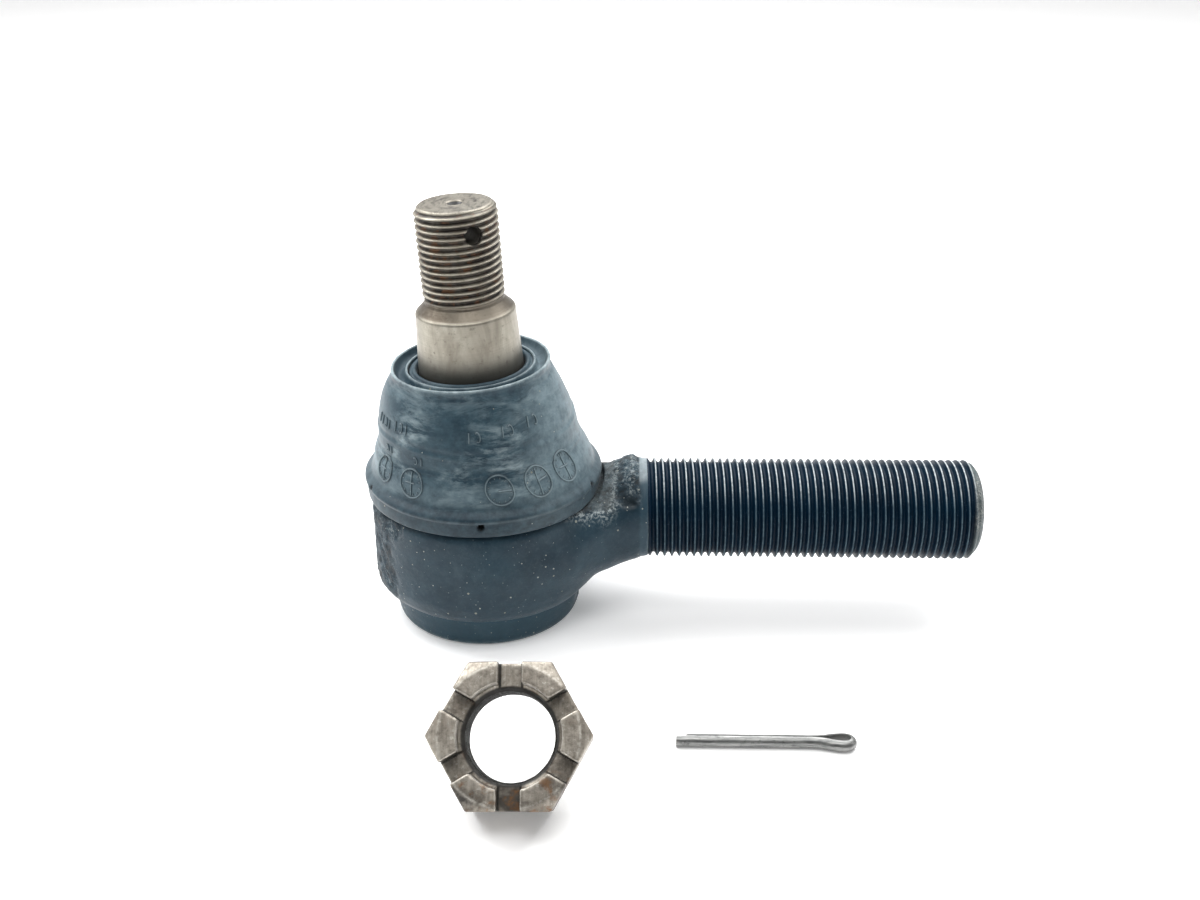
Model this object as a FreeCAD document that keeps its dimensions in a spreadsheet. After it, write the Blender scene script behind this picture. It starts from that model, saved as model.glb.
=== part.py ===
# Heavy tie rod end: forged socket with a threaded shank, a ball stud that swivels
# and tilts in bearing cups, a rubber boot, and its slotted nut and cotter pin.
# Units are millimetres. +Z is up along the housing bore, +X runs out along the shank.
# The row origin is the centre of the housing's bottom face.
import FreeCAD, Part
import Sketcher
import math
import os

V = FreeCAD.Vector
doc = FreeCAD.newDocument("tie_rod_end")
sheet = doc.addObject("Spreadsheet::Sheet", "sheet")
SIZES = [
    # housing
    ("axis_height", 30.8), ("lean_deg", 3.0),
    ("collar_rad", 26.4), ("collar_top_rad", 27.3), ("collar_height", 9.0),
    ("barrel_low_rad", 30.4), ("barrel_rad", 32.8), ("barrel_low_z", 14.5),
    ("barrel_top_z", 34.5), ("seat_z", 38.3), ("seat_rad", 29.25), ("crown_z", 47.0),
    ("bore_rad", 22.4), ("lip_open_rad", 19.6), ("lip_thick", 2.5),
    ("plate_bore_rad", 23.6), ("plate_top_z", 6.4), ("mouth_rad", 17.3), ("crown_rad", 20.4),
    ("neck_seat_rad", 34.3),
    # shank
    ("shank_rad", 14.2875), ("shank_pitch", 2.1167), ("shank_groove", 1.25),
    ("shank_start", 48.6), ("shank_end", 141.0), ("shank_tip_cham", 2.6),
    ("shank_turns", 41), ("pilot_rad", 14.0),
    # ball stud, measured up its own axis from the ball's centre
    ("ball_rad", 19.0), ("neck_rad", 10.4), ("neck_top", 24.0), ("taper_low", 28.5),
    ("taper_low_rad", 15.0), ("taper_start", 33.0), ("taper_top", 60.2), ("taper_top_rad", 13.6),
    ("undercut_low", 63.2), ("undercut_rad", 10.7), ("thread_low", 64.6), ("stud_top", 89.7),
    ("stud_rad", 11.1125), ("stud_pitch", 1.8143), ("stud_groove", 1.1), ("stud_turns", 13),
    ("stud_tip_cham", 1.5), ("hole_height", 83.0), ("hole_rad", 2.4), ("hole_turn_deg", 31.0),
    ("centre_rad", 1.25), ("centre_deep", 3.0),
    # bearings and closure
    ("cup_gap", 0.05), ("lower_cup_low", 9.7), ("lower_cup_top", 24.0), ("upper_cup_low", 26.0),
    ("upper_cup_top", 40.3), ("plate_rad", 23.5), ("plate_low_z", 2.55), ("plate_thick", 3.5),
    ("seal_rad", 0.9), ("spring_out_rad", 20.5), ("spring_in_rad", 11.0), ("spring_thick", 1.3),
    # boot
    ("bead_in_rad", 29.3), ("bead_rad", 33.6), ("ring_out_rad", 30.8), ("ring_low_z", 39.9),
    ("ring_top_z", 45.4), ("boot_wall", 2.3), ("wiper_in_rad", 14.82), ("wiper_out_rad", 17.1),
    ("wiper_low", 40.4), ("wiper_top", 44.6), ("bead_hole_rad", 0.6),
    # nut and pin
    ("nut_flats", 33.34), ("nut_thick", 19.05), ("nut_bore_rad", 10.2), ("nut_slot", 5.2),
    ("nut_slot_deep", 6.0), ("nut_mid_x", 14.11), ("nut_mid_y", -90.0), ("nut_tip_deg", 41.0), ("nut_turn_deg", 1.06), ("nut_pitch", 1.8143),
    ("pin_rad", 1.6), ("pin_len_long", 37.5), ("pin_len_short", 34.9), ("pin_x", 53.5),
    ("pin_y", -69.0),
]
for i, (k, v) in enumerate(SIZES):
    sheet.set("A%d" % (i + 1), k)
    sheet.set("B%d" % (i + 1), repr(float(v)))
    sheet.setAlias("B%d" % (i + 1), k)
doc.recompute()


def S(name):
    return float(sheet.get(name))


def plane(body, role):
    for f in body.Origin.OriginFeatures:
        if f.Role == role:
            return f


def body(label):
    b = doc.addObject("PartDesign::Body", label)
    b.Label = label
    return b


def sketch(b, name, role, off=None):
    s = doc.addObject("Sketcher::SketchObject", name)
    b.addObject(s)
    s.AttachmentSupport = [(plane(b, role), "")]
    s.MapMode = "FlatFace"
    if off is not None:
        s.AttachmentOffset = off
    return s


def polyline(s, pts, bind):
    """Closed outline. pts: (x, y). bind: {point index: (x expression, y expression)}."""
    n = len(pts)
    for i in range(n):
        a, c = pts[i], pts[(i + 1) % n]
        s.addGeometry(Part.LineSegment(V(a[0], a[1], 0), V(c[0], c[1], 0)), False)
    for i in range(n):
        s.addConstraint(Sketcher.Constraint("Coincident", i, 2, (i + 1) % n, 1))
    for i in range(n):
        ex = bind.get(i, (None, None)) if bind else (None, None)
        for k, kind in enumerate(("DistanceX", "DistanceY")):
            val = pts[i][k]
            if abs(val) < 1e-9:
                s.addConstraint(Sketcher.Constraint("PointOnObject", i, 1, -2 if k == 0 else -1))
                continue
            c = s.addConstraint(Sketcher.Constraint(kind, -1, 1, i, 1, val))
            if ex[k]:
                s.setExpression("Constraints[%d]" % c, ex[k])


def circle(s, x, y, r, er=None):
    g = s.addGeometry(Part.Circle(V(x, y, 0), V(0, 0, 1), r), False)
    c = s.addConstraint(Sketcher.Constraint("Radius", g, r))
    if er:
        s.setExpression("Constraints[%d]" % c, er)
    for k, v in (("DistanceX", x), ("DistanceY", y)):
        if abs(v) < 1e-9:
            continue
        s.addConstraint(Sketcher.Constraint(k, -1, 1, g, 3, v))
    if abs(x) < 1e-9:
        s.addConstraint(Sketcher.Constraint("PointOnObject", g, 3, -2))
    if abs(y) < 1e-9:
        s.addConstraint(Sketcher.Constraint("PointOnObject", g, 3, -1))


def feature(b, kind, name, s, **kw):
    f = doc.addObject("PartDesign::" + kind, name)
    b.addObject(f)
    f.Profile = s
    for k, v in kw.items():
        setattr(f, k, v)
    s.Visibility = False
    return f


def axis_of(s, which):
    return (s, [which])


A = "sheet."

# ------------------------------------------------------------------ socket_housing
hb = body("socket_housing")
# outer barrel, turned about Z (XZ plane sketch: x radius, y height)
barrel = [
    (0.0, 0.0), (25.4, 0.0), (26.4, 1.0), (27.3, 8.2), (28.6, 9.0), (30.4, 10.6), (32.0, 12.6), (32.8, 15.6),
    (32.8, 33.4), (32.3, 35.6), (31.0, 37.6), (29.9, 38.3), (29.25, 38.3), (29.25, 45.9), (28.3, 47.0), (0.0, 47.0)]
hs = sketch(hb, "housing_outline", "XZ_Plane")
polyline(hs, barrel, {
    1: (A + "collar_rad - 1", None), 2: (A + "collar_rad", None), 3: (A + "collar_top_rad", A + "collar_height - 0.8"),
    4: (None, A + "collar_height"), 5: (A + "barrel_low_rad", None), 7: (A + "barrel_rad", A + "barrel_low_z + 1.1"),
    8: (A + "barrel_rad", A + "barrel_top_z - 1.1"), 11: (None, A + "seat_z"), 12: (A + "seat_rad", A + "seat_z"),
    13: (A + "seat_rad", A + "crown_z - 1.1"), 14: (None, A + "crown_z"), 15: (None, A + "crown_z")})
feature(hb, "Revolution", "housing_barrel", hs, ReferenceAxis=axis_of(hs, "V_Axis"), Angle=360.0)
doc.recompute()

# forged neck: circles on planes across the shank, blended into the barrel
def off(x, z):
    return FreeCAD.Placement(V(0, z, x), FreeCAD.Rotation())

SECT = [(4.0, 24.6, 30.6, 13.6), (12.0, 24.6, 30.2, 13.6), (22.0, 25.2, 27.6, 14.2), (28.0, 26.4, 23.4, 14.6), (33.0, 27.6, 19.2, 15.3),
        (38.0, 29.3, 16.4, 15.0), (43.0, 30.6, 14.8, 14.6), (48.4, 30.8, 14.05, 13.95)]
secs = []
for n, (x, zc, ry, rz) in enumerate(SECT):
    s = sketch(hb, "neck_section_%d" % n, "YZ_Plane", off(x, 0.0))
    # an ellipse, wide across Y at the barrel and nearly round at the shank
    s.addGeometry(Part.Ellipse(V(0, zc, 0), ry, rz), False)
    s.addConstraint(Sketcher.Constraint("PointOnObject", 0, 3, -2))
    c = s.addConstraint(Sketcher.Constraint("DistanceY", -1, 1, 0, 3, zc))
    s.setExpression("Constraints[%d]" % c, A + "axis_height - %.4f" % (S("axis_height") - zc))
    secs.append(s)
loft = doc.addObject("PartDesign::AdditiveLoft", "housing_neck")
hb.addObject(loft)
loft.Profile = secs[0]
loft.Sections = secs[1:]
loft.Ruled = False
doc.recompute()

# hump behind the pilot, pilot and shank blank, turned about the shank axis
sh = sketch(hb, "shank_outline", "XZ_Plane")
zb = S("axis_height")
shank = [(38.0, zb), (38.0, zb + 13.6), (40.6, zb + 14.6), (42.8, zb + 14.9), (45.4, zb + 14.5), (46.8, zb + 14.0), (48.4, zb + 14.0), (48.9, zb + 14.2875),
         (138.4, zb + 14.2875), (141.0, zb + 11.7), (141.0, zb)]
polyline(sh, shank, {
    0: (None, A + "axis_height"), 1: (None, A + "axis_height + 13.6"), 2: (None, A + "axis_height + 14.6"),
    3: (None, A + "axis_height + 14.9"), 4: (None, A + "axis_height + 14.5"), 5: (None, A + "axis_height + pilot_rad".replace("pilot", "sheet.pilot")),
    6: (A + "shank_start - 0.2", A + "axis_height + sheet.pilot_rad"), 7: (A + "shank_start + 0.3", A + "axis_height + sheet.shank_rad"),
    8: (A + "shank_end - sheet.shank_tip_cham", A + "axis_height + sheet.shank_rad"),
    9: (A + "shank_end", A + "axis_height + sheet.shank_rad - sheet.shank_tip_cham + 0.0125"), 10: (A + "shank_end", A + "axis_height")})
g = sh.addGeometry(Part.LineSegment(V(30, zb, 0), V(150, zb, 0)), True)
sh.addConstraint(Sketcher.Constraint("Horizontal", g))
sh.addConstraint(Sketcher.Constraint("PointOnObject", 0, 1, g))
feature(hb, "Revolution", "housing_shank", sh, ReferenceAxis=(sh, ["Axis0"]), Angle=360.0)
doc.recompute()

# turned seat for the boot, cut into the barrel and the root of the neck
ss = sketch(hb, "seat_outline", "XZ_Plane")
polyline(ss, [(29.25, 38.3), (34.3, 38.3), (34.3, 60.0), (29.25, 60.0)], {
    0: (A + "seat_rad", A + "seat_z"), 1: (A + "neck_seat_rad", A + "seat_z"), 2: (A + "neck_seat_rad", None), 3: (A + "seat_rad", None)})
feature(hb, "Groove", "boot_seat", ss, ReferenceAxis=axis_of(ss, "V_Axis"), Angle=360.0)
# anything of the neck blend that stands above the crown inside the seat
st = sketch(hb, "crown_trim_outline", "XZ_Plane")
polyline(st, [(0.0, 47.0), (29.3, 47.0), (29.3, 60.0), (0.0, 60.0)], {0: (None, A + "crown_z"), 1: (None, A + "crown_z")})
feature(hb, "Groove", "crown_trim", st, ReferenceAxis=axis_of(st, "V_Axis"), Angle=360.0)
doc.recompute()

# inside: rolled lip, closure counterbore, bore, spherical roof, flared mouth
bi = sketch(hb, "bore_outline", "XZ_Plane")
R = 22.4
top = zb + 9.6
roof = []
for k in range(1, 7):
    a = math.radians(25.5 * k / 6.0)
    roof.append((R * math.cos(a), zb + R * math.sin(a)))
inner = [(0.0, 0.0), (19.6, 0.0), (19.6, 2.5), (23.6, 2.5), (23.6, 6.4), (22.4, 6.4), (22.4, zb)] + roof + \
        [(17.3, roof[-1][1]), (17.3, roof[-1][1] + 0.6), (20.4, 47.0), (0.0, 47.0)]
n = len(inner)
polyline(bi, inner, {
    1: (A + "lip_open_rad", None), 2: (A + "lip_open_rad", A + "lip_thick"), 3: (A + "plate_bore_rad", A + "lip_thick"),
    4: (A + "plate_bore_rad", A + "plate_top_z"), 5: (A + "bore_rad", A + "plate_top_z"), 6: (A + "bore_rad", A + "axis_height"),
    n - 4: (A + "mouth_rad", None), n - 3: (A + "mouth_rad", None), n - 2: (A + "crown_rad", A + "crown_z"), n - 1: (None, A + "crown_z")})
feature(hb, "Groove", "housing_bore", bi, ReferenceAxis=axis_of(bi, "V_Axis"), Angle=360.0)
doc.recompute()

# shank thread: one vee groove, repeated at the thread's pitch
tg = sketch(hb, "thread_groove_outline", "XZ_Plane")
x0 = S("shank_start") + 1.6
zc = zb + S("shank_rad")
polyline(tg, [(x0 - 0.86, zc + 0.25), (x0 - 0.12, zc - 1.25), (x0 + 0.12, zc - 1.25), (x0 + 0.86, zc + 0.25)], {
    0: (A + "shank_start + 0.74", A + "axis_height + sheet.shank_rad + 0.25"),
    1: (A + "shank_start + 1.48", A + "axis_height + sheet.shank_rad - sheet.shank_groove"),
    2: (A + "shank_start + 1.72", A + "axis_height + sheet.shank_rad - sheet.shank_groove"),
    3: (A + "shank_start + 2.46", A + "axis_height + sheet.shank_rad + 0.25")})
g = tg.addGeometry(Part.LineSegment(V(30, zb, 0), V(150, zb, 0)), True)
tg.addConstraint(Sketcher.Constraint("Horizontal", g))
c = tg.addConstraint(Sketcher.Constraint("DistanceY", -1, 1, g, 1, zb))
tg.setExpression("Constraints[%d]" % c, A + "axis_height")
gr = feature(hb, "Groove", "thread_groove", tg, ReferenceAxis=(tg, ["Axis0"]), Angle=360.0)
doc.recompute()
lp = doc.addObject("PartDesign::LinearPattern", "shank_thread")
hb.addObject(lp)
lp.Originals = [gr]
for f in hb.Origin.OriginFeatures:
    if f.Role == "X_Axis":
        lp.Direction = (f, [""])
lp.setExpression("Occurrences", A + "shank_turns")
lp.setExpression("Length", "(sheet.shank_turns - 1) * sheet.shank_pitch * 1mm")
hb.Tip = lp
doc.recompute()

# ------------------------------------------------------------------ ball_stud
sb = body("ball_stud")
so = sketch(sb, "stud_outline", "XZ_Plane")
br = S("ball_rad")
lo = math.asin(-0.93)
ball = []
t0 = math.asin(S("neck_rad") / br)
# ball drawn as a true arc between its flat foot and the neck
foot = br * 0.97
fr = math.sqrt(br * br - foot * foot)
nz = math.sqrt(br * br - S("neck_rad") ** 2)
pts = [(0.0, -foot), (fr, -foot)]
so.addGeometry(Part.LineSegment(V(0, -foot, 0), V(fr, -foot, 0)), False)                       # 0
arc = Part.ArcOfCircle(Part.Circle(V(0, 0, 0), V(0, 0, 1), br), math.atan2(-foot, fr), math.atan2(nz, S("neck_rad")))
so.addGeometry(arc, False)                                                                     # 1
up = [(S("neck_rad"), nz), (10.4, 24.0), (13.0, 26.2), (15.0, 28.5), (15.0, 33.0), (14.75, 41.8), (13.6, 60.2), (13.3, 60.7), (11.0, 63.2),
      (10.7, 63.4), (10.7, 64.4), (11.1125, 64.8), (11.1125, 88.2), (9.6125, 89.7), (0.0, 89.7)]
ex = [(None, None), (A + "neck_rad", A + "neck_top"), (None, A + "neck_top + 2.2"), (A + "taper_low_rad", A + "taper_low"),
      (A + "taper_low_rad", A + "taper_start"), (None, None), (A + "taper_top_rad", A + "taper_top"), (A + "taper_top_rad - 0.3", A + "taper_top + 0.5"),
      (None, A + "undercut_low"), (A + "undercut_rad", A + "undercut_low + 0.2"), (A + "undercut_rad", A + "thread_low - 0.2"), (A + "stud_rad", A + "thread_low + 0.2"),
      (A + "stud_rad", A + "stud_top - sheet.stud_tip_cham"), (A + "stud_rad - sheet.stud_tip_cham", A + "stud_top"), (None, A + "stud_top")]
for i in range(len(up) - 1):
    so.addGeometry(Part.LineSegment(V(up[i][0], up[i][1], 0), V(up[i + 1][0], up[i + 1][1], 0)), False)
last = 2 + len(up) - 2
so.addGeometry(Part.LineSegment(V(0, 89.7, 0), V(0, -foot, 0)), False)                          # closing
cl = last + 1
so.addConstraint(Sketcher.Constraint("Coincident", 0, 2, 1, 1))
so.addConstraint(Sketcher.Constraint("Coincident", 1, 2, 2, 1))
for i in range(2, last):
    so.addConstraint(Sketcher.Constraint("Coincident", i, 2, i + 1, 1))
so.addConstraint(Sketcher.Constraint("Coincident", last, 2, cl, 1))
so.addConstraint(Sketcher.Constraint("Coincident", cl, 2, 0, 1))
so.addConstraint(Sketcher.Constraint("PointOnObject", 0, 1, -2))
so.addConstraint(Sketcher.Constraint("Horizontal", 0))
so.addConstraint(Sketcher.Constraint("Coincident", 1, 3, -1, 1))
c = so.addConstraint(Sketcher.Constraint("Radius", 1, br))
so.setExpression("Constraints[%d]" % c, A + "ball_rad")
c = so.addConstraint(Sketcher.Constraint("DistanceY", 0, 1, -1, 1, foot))
so.setExpression("Constraints[%d]" % c, A + "ball_rad * 0.97")
c = so.addConstraint(Sketcher.Constraint("DistanceX", -1, 1, 1, 2, S("neck_rad")))
so.setExpression("Constraints[%d]" % c, A + "neck_rad")
for i in range(1, len(up)):
    g = 1 + i
    for k, kind in enumerate(("DistanceX", "DistanceY")):
        if abs(up[i][k]) < 1e-9:
            so.addConstraint(Sketcher.Constraint("PointOnObject", g, 2, -2))
            continue
        c = so.addConstraint(Sketcher.Constraint(kind, -1, 1, g, 2, up[i][k]))
        if ex[i][k]:
            so.setExpression("Constraints[%d]" % c, ex[i][k])
feature(sb, "Revolution", "stud_turned", so, ReferenceAxis=axis_of(so, "V_Axis"), Angle=360.0)
doc.recompute()
# cross hole for the cotter pin
ch = sketch(sb, "cotter_hole_outline", "XZ_Plane", FreeCAD.Placement(V(0, 0, 0), FreeCAD.Rotation(V(0, 1, 0), 0)))
circle(ch, 0.0, S("hole_height"), S("hole_rad"), A + "hole_rad")
ph = feature(sb, "Pocket", "cotter_hole", ch, Type=0, Midplane=True)
ph.setExpression("Length", "sheet.stud_rad * 4 * 1mm")
doc.recompute()
# centre drilling in the top face
cd = sketch(sb, "centre_outline", "XZ_Plane")
polyline(cd, [(0.0, 86.0), (1.25, 87.0), (1.25, 88.6), (2.3, 89.9), (0.0, 89.9)], {
    0: (None, A + "stud_top - sheet.centre_deep - 0.7"), 1: (A + "centre_rad", A + "stud_top - sheet.centre_deep + 0.3"),
    2: (A + "centre_rad", A + "stud_top - 1.1"), 3: (None, A + "stud_top + 0.2"), 4: (None, A + "stud_top + 0.2")})
feature(sb, "Groove", "centre_drilling", cd, ReferenceAxis=axis_of(cd, "V_Axis"), Angle=360.0)
doc.recompute()
sg = sketch(sb, "stud_groove_outline", "XZ_Plane")
z0 = S("thread_low") + 1.3
polyline(sg, [(11.35, z0 - 0.74), (10.0, z0 - 0.1), (10.0, z0 + 0.1), (11.35, z0 + 0.74)], {
    0: (A + "stud_rad + 0.2375", A + "thread_low + 0.56"), 1: (A + "stud_rad - sheet.stud_groove", A + "thread_low + 1.2"),
    2: (A + "stud_rad - sheet.stud_groove", A + "thread_low + 1.4"), 3: (A + "stud_rad + 0.2375", A + "thread_low + 2.04")})
sgf = feature(sb, "Groove", "stud_groove_cut", sg, ReferenceAxis=axis_of(sg, "V_Axis"), Angle=360.0)
doc.recompute()
lp = doc.addObject("PartDesign::LinearPattern", "stud_thread")
sb.addObject(lp)
lp.Originals = [sgf]
for f in sb.Origin.OriginFeatures:
    if f.Role == "Z_Axis":
        lp.Direction = (f, [""])
lp.setExpression("Occurrences", A + "stud_turns")
lp.setExpression("Length", "(sheet.stud_turns - 1) * sheet.stud_pitch * 1mm")
sb.Tip = lp
doc.recompute()


def turned(label, pts, bind):
    b = body(label)
    s = sketch(b, label + "_outline", "XZ_Plane")
    polyline(s, pts, bind)
    feature(b, "Revolution", label + "_turned", s, ReferenceAxis=axis_of(s, "V_Axis"), Angle=360.0)
    return b


def dome(r, z1, z2, n, zc):
    """Points of a circle of radius r about height zc, from height z1 to z2."""
    a1, a2 = math.asin((z1 - zc) / r), math.asin((z2 - zc) / r)
    return [(r * math.cos(a1 + (a2 - a1) * k / n), zc + r * math.sin(a1 + (a2 - a1) * k / n)) for k in range(n + 1)]


def cup(label, pts_outer, z1, z2, outer_expr):
    """Bearing cup: straight or round outside, true spherical inside."""
    b = body(label)
    s = sketch(b, label + "_outline", "XZ_Plane")
    r = S("ball_rad") + S("cup_gap")
    p1 = (math.sqrt(r * r - (z1 - zb) ** 2), z1)
    p2 = (math.sqrt(r * r - (z2 - zb) ** 2), z2)
    a1 = math.atan2(p1[1] - zb, p1[0])
    a2 = math.atan2(p2[1] - zb, p2[0])
    s.addGeometry(Part.ArcOfCircle(Part.Circle(V(0, zb, 0), V(0, 0, 1), r), a1, a2), False)
    chain = [p2] + pts_outer + [p1]
    for i in range(len(chain) - 1):
        s.addGeometry(Part.LineSegment(V(chain[i][0], chain[i][1], 0), V(chain[i + 1][0], chain[i + 1][1], 0)), False)
    m = len(chain) - 1
    s.addConstraint(Sketcher.Constraint("Coincident", 0, 2, 1, 1))
    for i in range(1, m):
        s.addConstraint(Sketcher.Constraint("Coincident", i, 2, i + 1, 1))
    s.addConstraint(Sketcher.Constraint("Coincident", m, 2, 0, 1))
    c = s.addConstraint(Sketcher.Constraint("Radius", 0, r))
    s.setExpression("Constraints[%d]" % c, A + "ball_rad + sheet.cup_gap")
    s.addConstraint(Sketcher.Constraint("PointOnObject", 0, 3, -2))
    c = s.addConstraint(Sketcher.Constraint("DistanceY", -1, 1, 0, 3, zb))
    s.setExpression("Constraints[%d]" % c, A + "axis_height")
    s.addConstraint(Sketcher.Constraint("DistanceY", -1, 1, 0, 1, z1))
    s.addConstraint(Sketcher.Constraint("DistanceY", -1, 1, 0, 2, z2))
    for i, (px, pz) in enumerate(pts_outer):
        c = s.addConstraint(Sketcher.Constraint("DistanceX", -1, 1, 1 + i, 2, px))
        if outer_expr.get(i):
            s.setExpression("Constraints[%d]" % c, outer_expr[i])
        s.addConstraint(Sketcher.Constraint("DistanceY", -1, 1, 1 + i, 2, pz))
    feature(b, "Revolution", label + "_turned", s, ReferenceAxis=axis_of(s, "V_Axis"), Angle=360.0)
    return b


oc = S("bore_rad") - 0.05
rr = R - 0.05
ro = dome(rr, S("upper_cup_low") + 4.8, 40.25, 6, zb)
cup("upper_bearing", [(ro[-1][0], 40.25)] + list(reversed(ro[:-1])) + [(oc, 26.0)], 26.0, 40.25, {})
cup("lower_bearing", [(oc, 24.0), (oc, 11.4), (20.6, 9.75), (8.0, 9.75), (8.0, 13.5)], 13.5, 24.0,
    {0: A + "bore_rad - 0.05", 1: A + "bore_rad - 0.05"})
doc.recompute()

turned("preload_spring", [(11.0, 8.3), (20.5, 6.45), (20.5, 7.75), (11.0, 9.6)], {
    0: (A + "spring_in_rad", None), 1: (A + "spring_out_rad", None), 2: (A + "spring_out_rad", None), 3: (A + "spring_in_rad", None)})
turned("closure_plate", [(0.0, 3.6), (9.0, 3.4), (17.5, 2.56), (23.5, 2.56), (23.5, 4.3), (22.3, 4.3), (22.3, 6.2), (17.5, 6.2), (9.0, 5.4), (0.0, 5.4)], {
    3: (A + "plate_rad", None), 4: (A + "plate_rad", None)})
turned("closure_seal", [(22.45, 4.4), (23.5, 4.4), (23.5, 6.3), (22.45, 6.3)], {1: (A + "plate_rad", None), 2: (A + "plate_rad", None)})
turned("boot_base_ring", [(29.35, 39.9), (30.8, 39.9), (30.8, 45.4), (29.35, 45.4)], {
    0: (A + "bead_in_rad + 0.05", A + "ring_low_z"), 1: (A + "ring_out_rad", A + "ring_low_z"), 2: (A + "ring_out_rad", A + "ring_top_z"),
    3: (A + "bead_in_rad + 0.05", A + "ring_top_z")})
turned("boot_wiper", [(14.92, 40.4), (16.4, 40.4), (17.1, 41.2), (17.1, 44.0), (16.6, 44.6), (15.6, 44.6), (14.72, 43.6)], {})
doc.recompute()

# ------------------------------------------------------------------ dust_boot
# Rubber shell lofted through rings; the upper rings lean with the stud about the ball's centre.
OUT = [(38.45, 31.6), (39.2, 32.9), (40.4, 33.5), (43.0, 33.6), (44.4, 33.2), (45.4, 32.0), (46.4, 31.2), (47.6, 30.8), (49.5, 30.2), (51.5, 29.3), (53.5, 28.3), (56.0, 27.9),
       (59.0, 27.4), (62.0, 26.7), (65.0, 25.8), (68.0, 24.5), (71.0, 23.1), (73.5, 22.0), (75.0, 21.5), (76.0, 21.6)]
INN = [(38.45, 29.3), (47.4, 29.3), (49.0, 28.1), (51.5, 26.9), (53.5, 25.9), (56.0, 25.5), (59.0, 25.0), (62.0, 24.3), (65.0, 23.4), (68.0, 22.1), (70.0, 20.4), (71.2, 18.4), (72.0, 17.2)]
LIP = [(76.0, 20.9), (75.0, 20.3), (73.6, 19.9), (73.2, 19.0), (74.2, 17.8), (74.9, 17.2)]
lean = math.radians(S("lean_deg"))


def lean_at(z):
    k = min(1.0, max(0.0, (z - 47.0) / (70.0 - 47.0)))
    return lean * k * k * (3 - 2 * k)


def ring_wire(z, r):
    a = lean_at(z)
    d = z - zb
    c_ = Part.makeCircle(r, V(0, 0, 0), V(0, 0, 1))
    c_.Placement = FreeCAD.Placement(V(-d * math.sin(a), 0, zb + d * math.cos(a)), FreeCAD.Rotation(V(0, 1, 0), -math.degrees(a)))
    return c_


def shell_solid(outline):
    """Closed ring of ruled bands through circles, one per outline point."""
    rings = [ring_wire(z, r) for z, r in outline]
    faces = []
    m = len(rings)
    for i in range(m):
        f = Part.makeRuledSurface(rings[i], rings[(i + 1) % m])
        faces.append(f)
    sh_ = Part.Shell(faces)
    so_ = Part.Solid(sh_)
    if so_.Volume < 0:
        so_.reverse()
    return so_


outline = OUT + LIP + list(reversed(INN))
boot_shape = shell_solid(outline)
# recess for the moulded-in base ring, and the small locating-pin holes that reach it
rec = Part.makeCylinder(30.85, S("ring_top_z") - S("ring_low_z") + 0.1, V(0, 0, S("ring_low_z") - 0.05))
boot_shape = boot_shape.cut(rec)
for k in range(5):
    a = math.radians(-154.0 + 67.0 * k)
    d = V(math.cos(a), math.sin(a), 0)
    boot_shape = boot_shape.cut(Part.makeCylinder(S("bead_hole_rad"), 6.0, V(d.x * 29.0, d.y * 29.0, 43.0), d))
bo = doc.addObject("Part::Feature", "dust_boot")
bo.Label = "dust_boot"
bo.Shape = boot_shape
bo.Placement = FreeCAD.Placement()

# ------------------------------------------------------------------ castle_nut
nb = body("castle_nut")
ns = sketch(nb, "nut_hex", "XY_Plane")
af = S("nut_flats")
cr = af / math.sqrt(3.0)
hexp = [(cr * math.cos(math.radians(60 * k)), cr * math.sin(math.radians(60 * k))) for k in range(6)]
e1, e2 = A + "nut_flats / sqrt(3)", A + "nut_flats / 2"
for i in range(6):
    a, c = hexp[i], hexp[(i + 1) % 6]
    ns.addGeometry(Part.LineSegment(V(a[0], a[1], 0), V(c[0], c[1], 0)), False)
for i in range(6):
    ns.addConstraint(Sketcher.Constraint("Coincident", i, 2, (i + 1) % 6, 1))
gc = ns.addGeometry(Part.Circle(V(0, 0, 0), V(0, 0, 1), cr), True)
ns.addConstraint(Sketcher.Constraint("Coincident", gc, 3, -1, 1))
c = ns.addConstraint(Sketcher.Constraint("Radius", gc, cr))
ns.setExpression("Constraints[%d]" % c, e1)
for i in range(6):
    ns.addConstraint(Sketcher.Constraint("PointOnObject", i, 1, gc))
for i in range(5):
    ns.addConstraint(Sketcher.Constraint("Equal", i, i + 1))
ns.addConstraint(Sketcher.Constraint("PointOnObject", 0, 1, -1))
pad = feature(nb, "Pad", "nut_blank", ns, Type=0)
pad.setExpression("Length", "sheet.nut_thick * 1mm")
doc.recompute()
nc = sketch(nb, "nut_round_outline", "XZ_Plane")
t = S("nut_thick")
polyline(nc, [(15.9, 0.0), (24.0, 0.0), (24.0, 3.2)], {})
feature(nb, "Groove", "nut_low_round", nc, ReferenceAxis=axis_of(nc, "V_Axis"), Angle=360.0)
nc2 = sketch(nb, "nut_top_round_outline", "XZ_Plane")
polyline(nc2, [(15.7, t), (24.0, t - 4.2), (24.0, t)], {0: (None, A + "nut_thick"), 1: (None, A + "nut_thick - 4.2"), 2: (None, A + "nut_thick")})
feature(nb, "Groove", "nut_top_round", nc2, ReferenceAxis=axis_of(nc2, "V_Axis"), Angle=360.0)
nh = sketch(nb, "nut_bore_outline", "XZ_Plane")
polyline(nh, [(0.0, 0.0), (11.5, 0.0), (10.2, 1.3), (10.2, t - 1.3), (11.5, t), (0.0, t)], {
    1: (A + "nut_bore_rad + 1.3", None), 2: (A + "nut_bore_rad", None), 3: (A + "nut_bore_rad", A + "nut_thick - 1.3"),
    4: (A + "nut_bore_rad + 1.3", A + "nut_thick"), 5: (None, A + "nut_thick")})
feature(nb, "Groove", "nut_bore", nh, ReferenceAxis=axis_of(nh, "V_Axis"), Angle=360.0)
doc.recompute()
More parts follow.
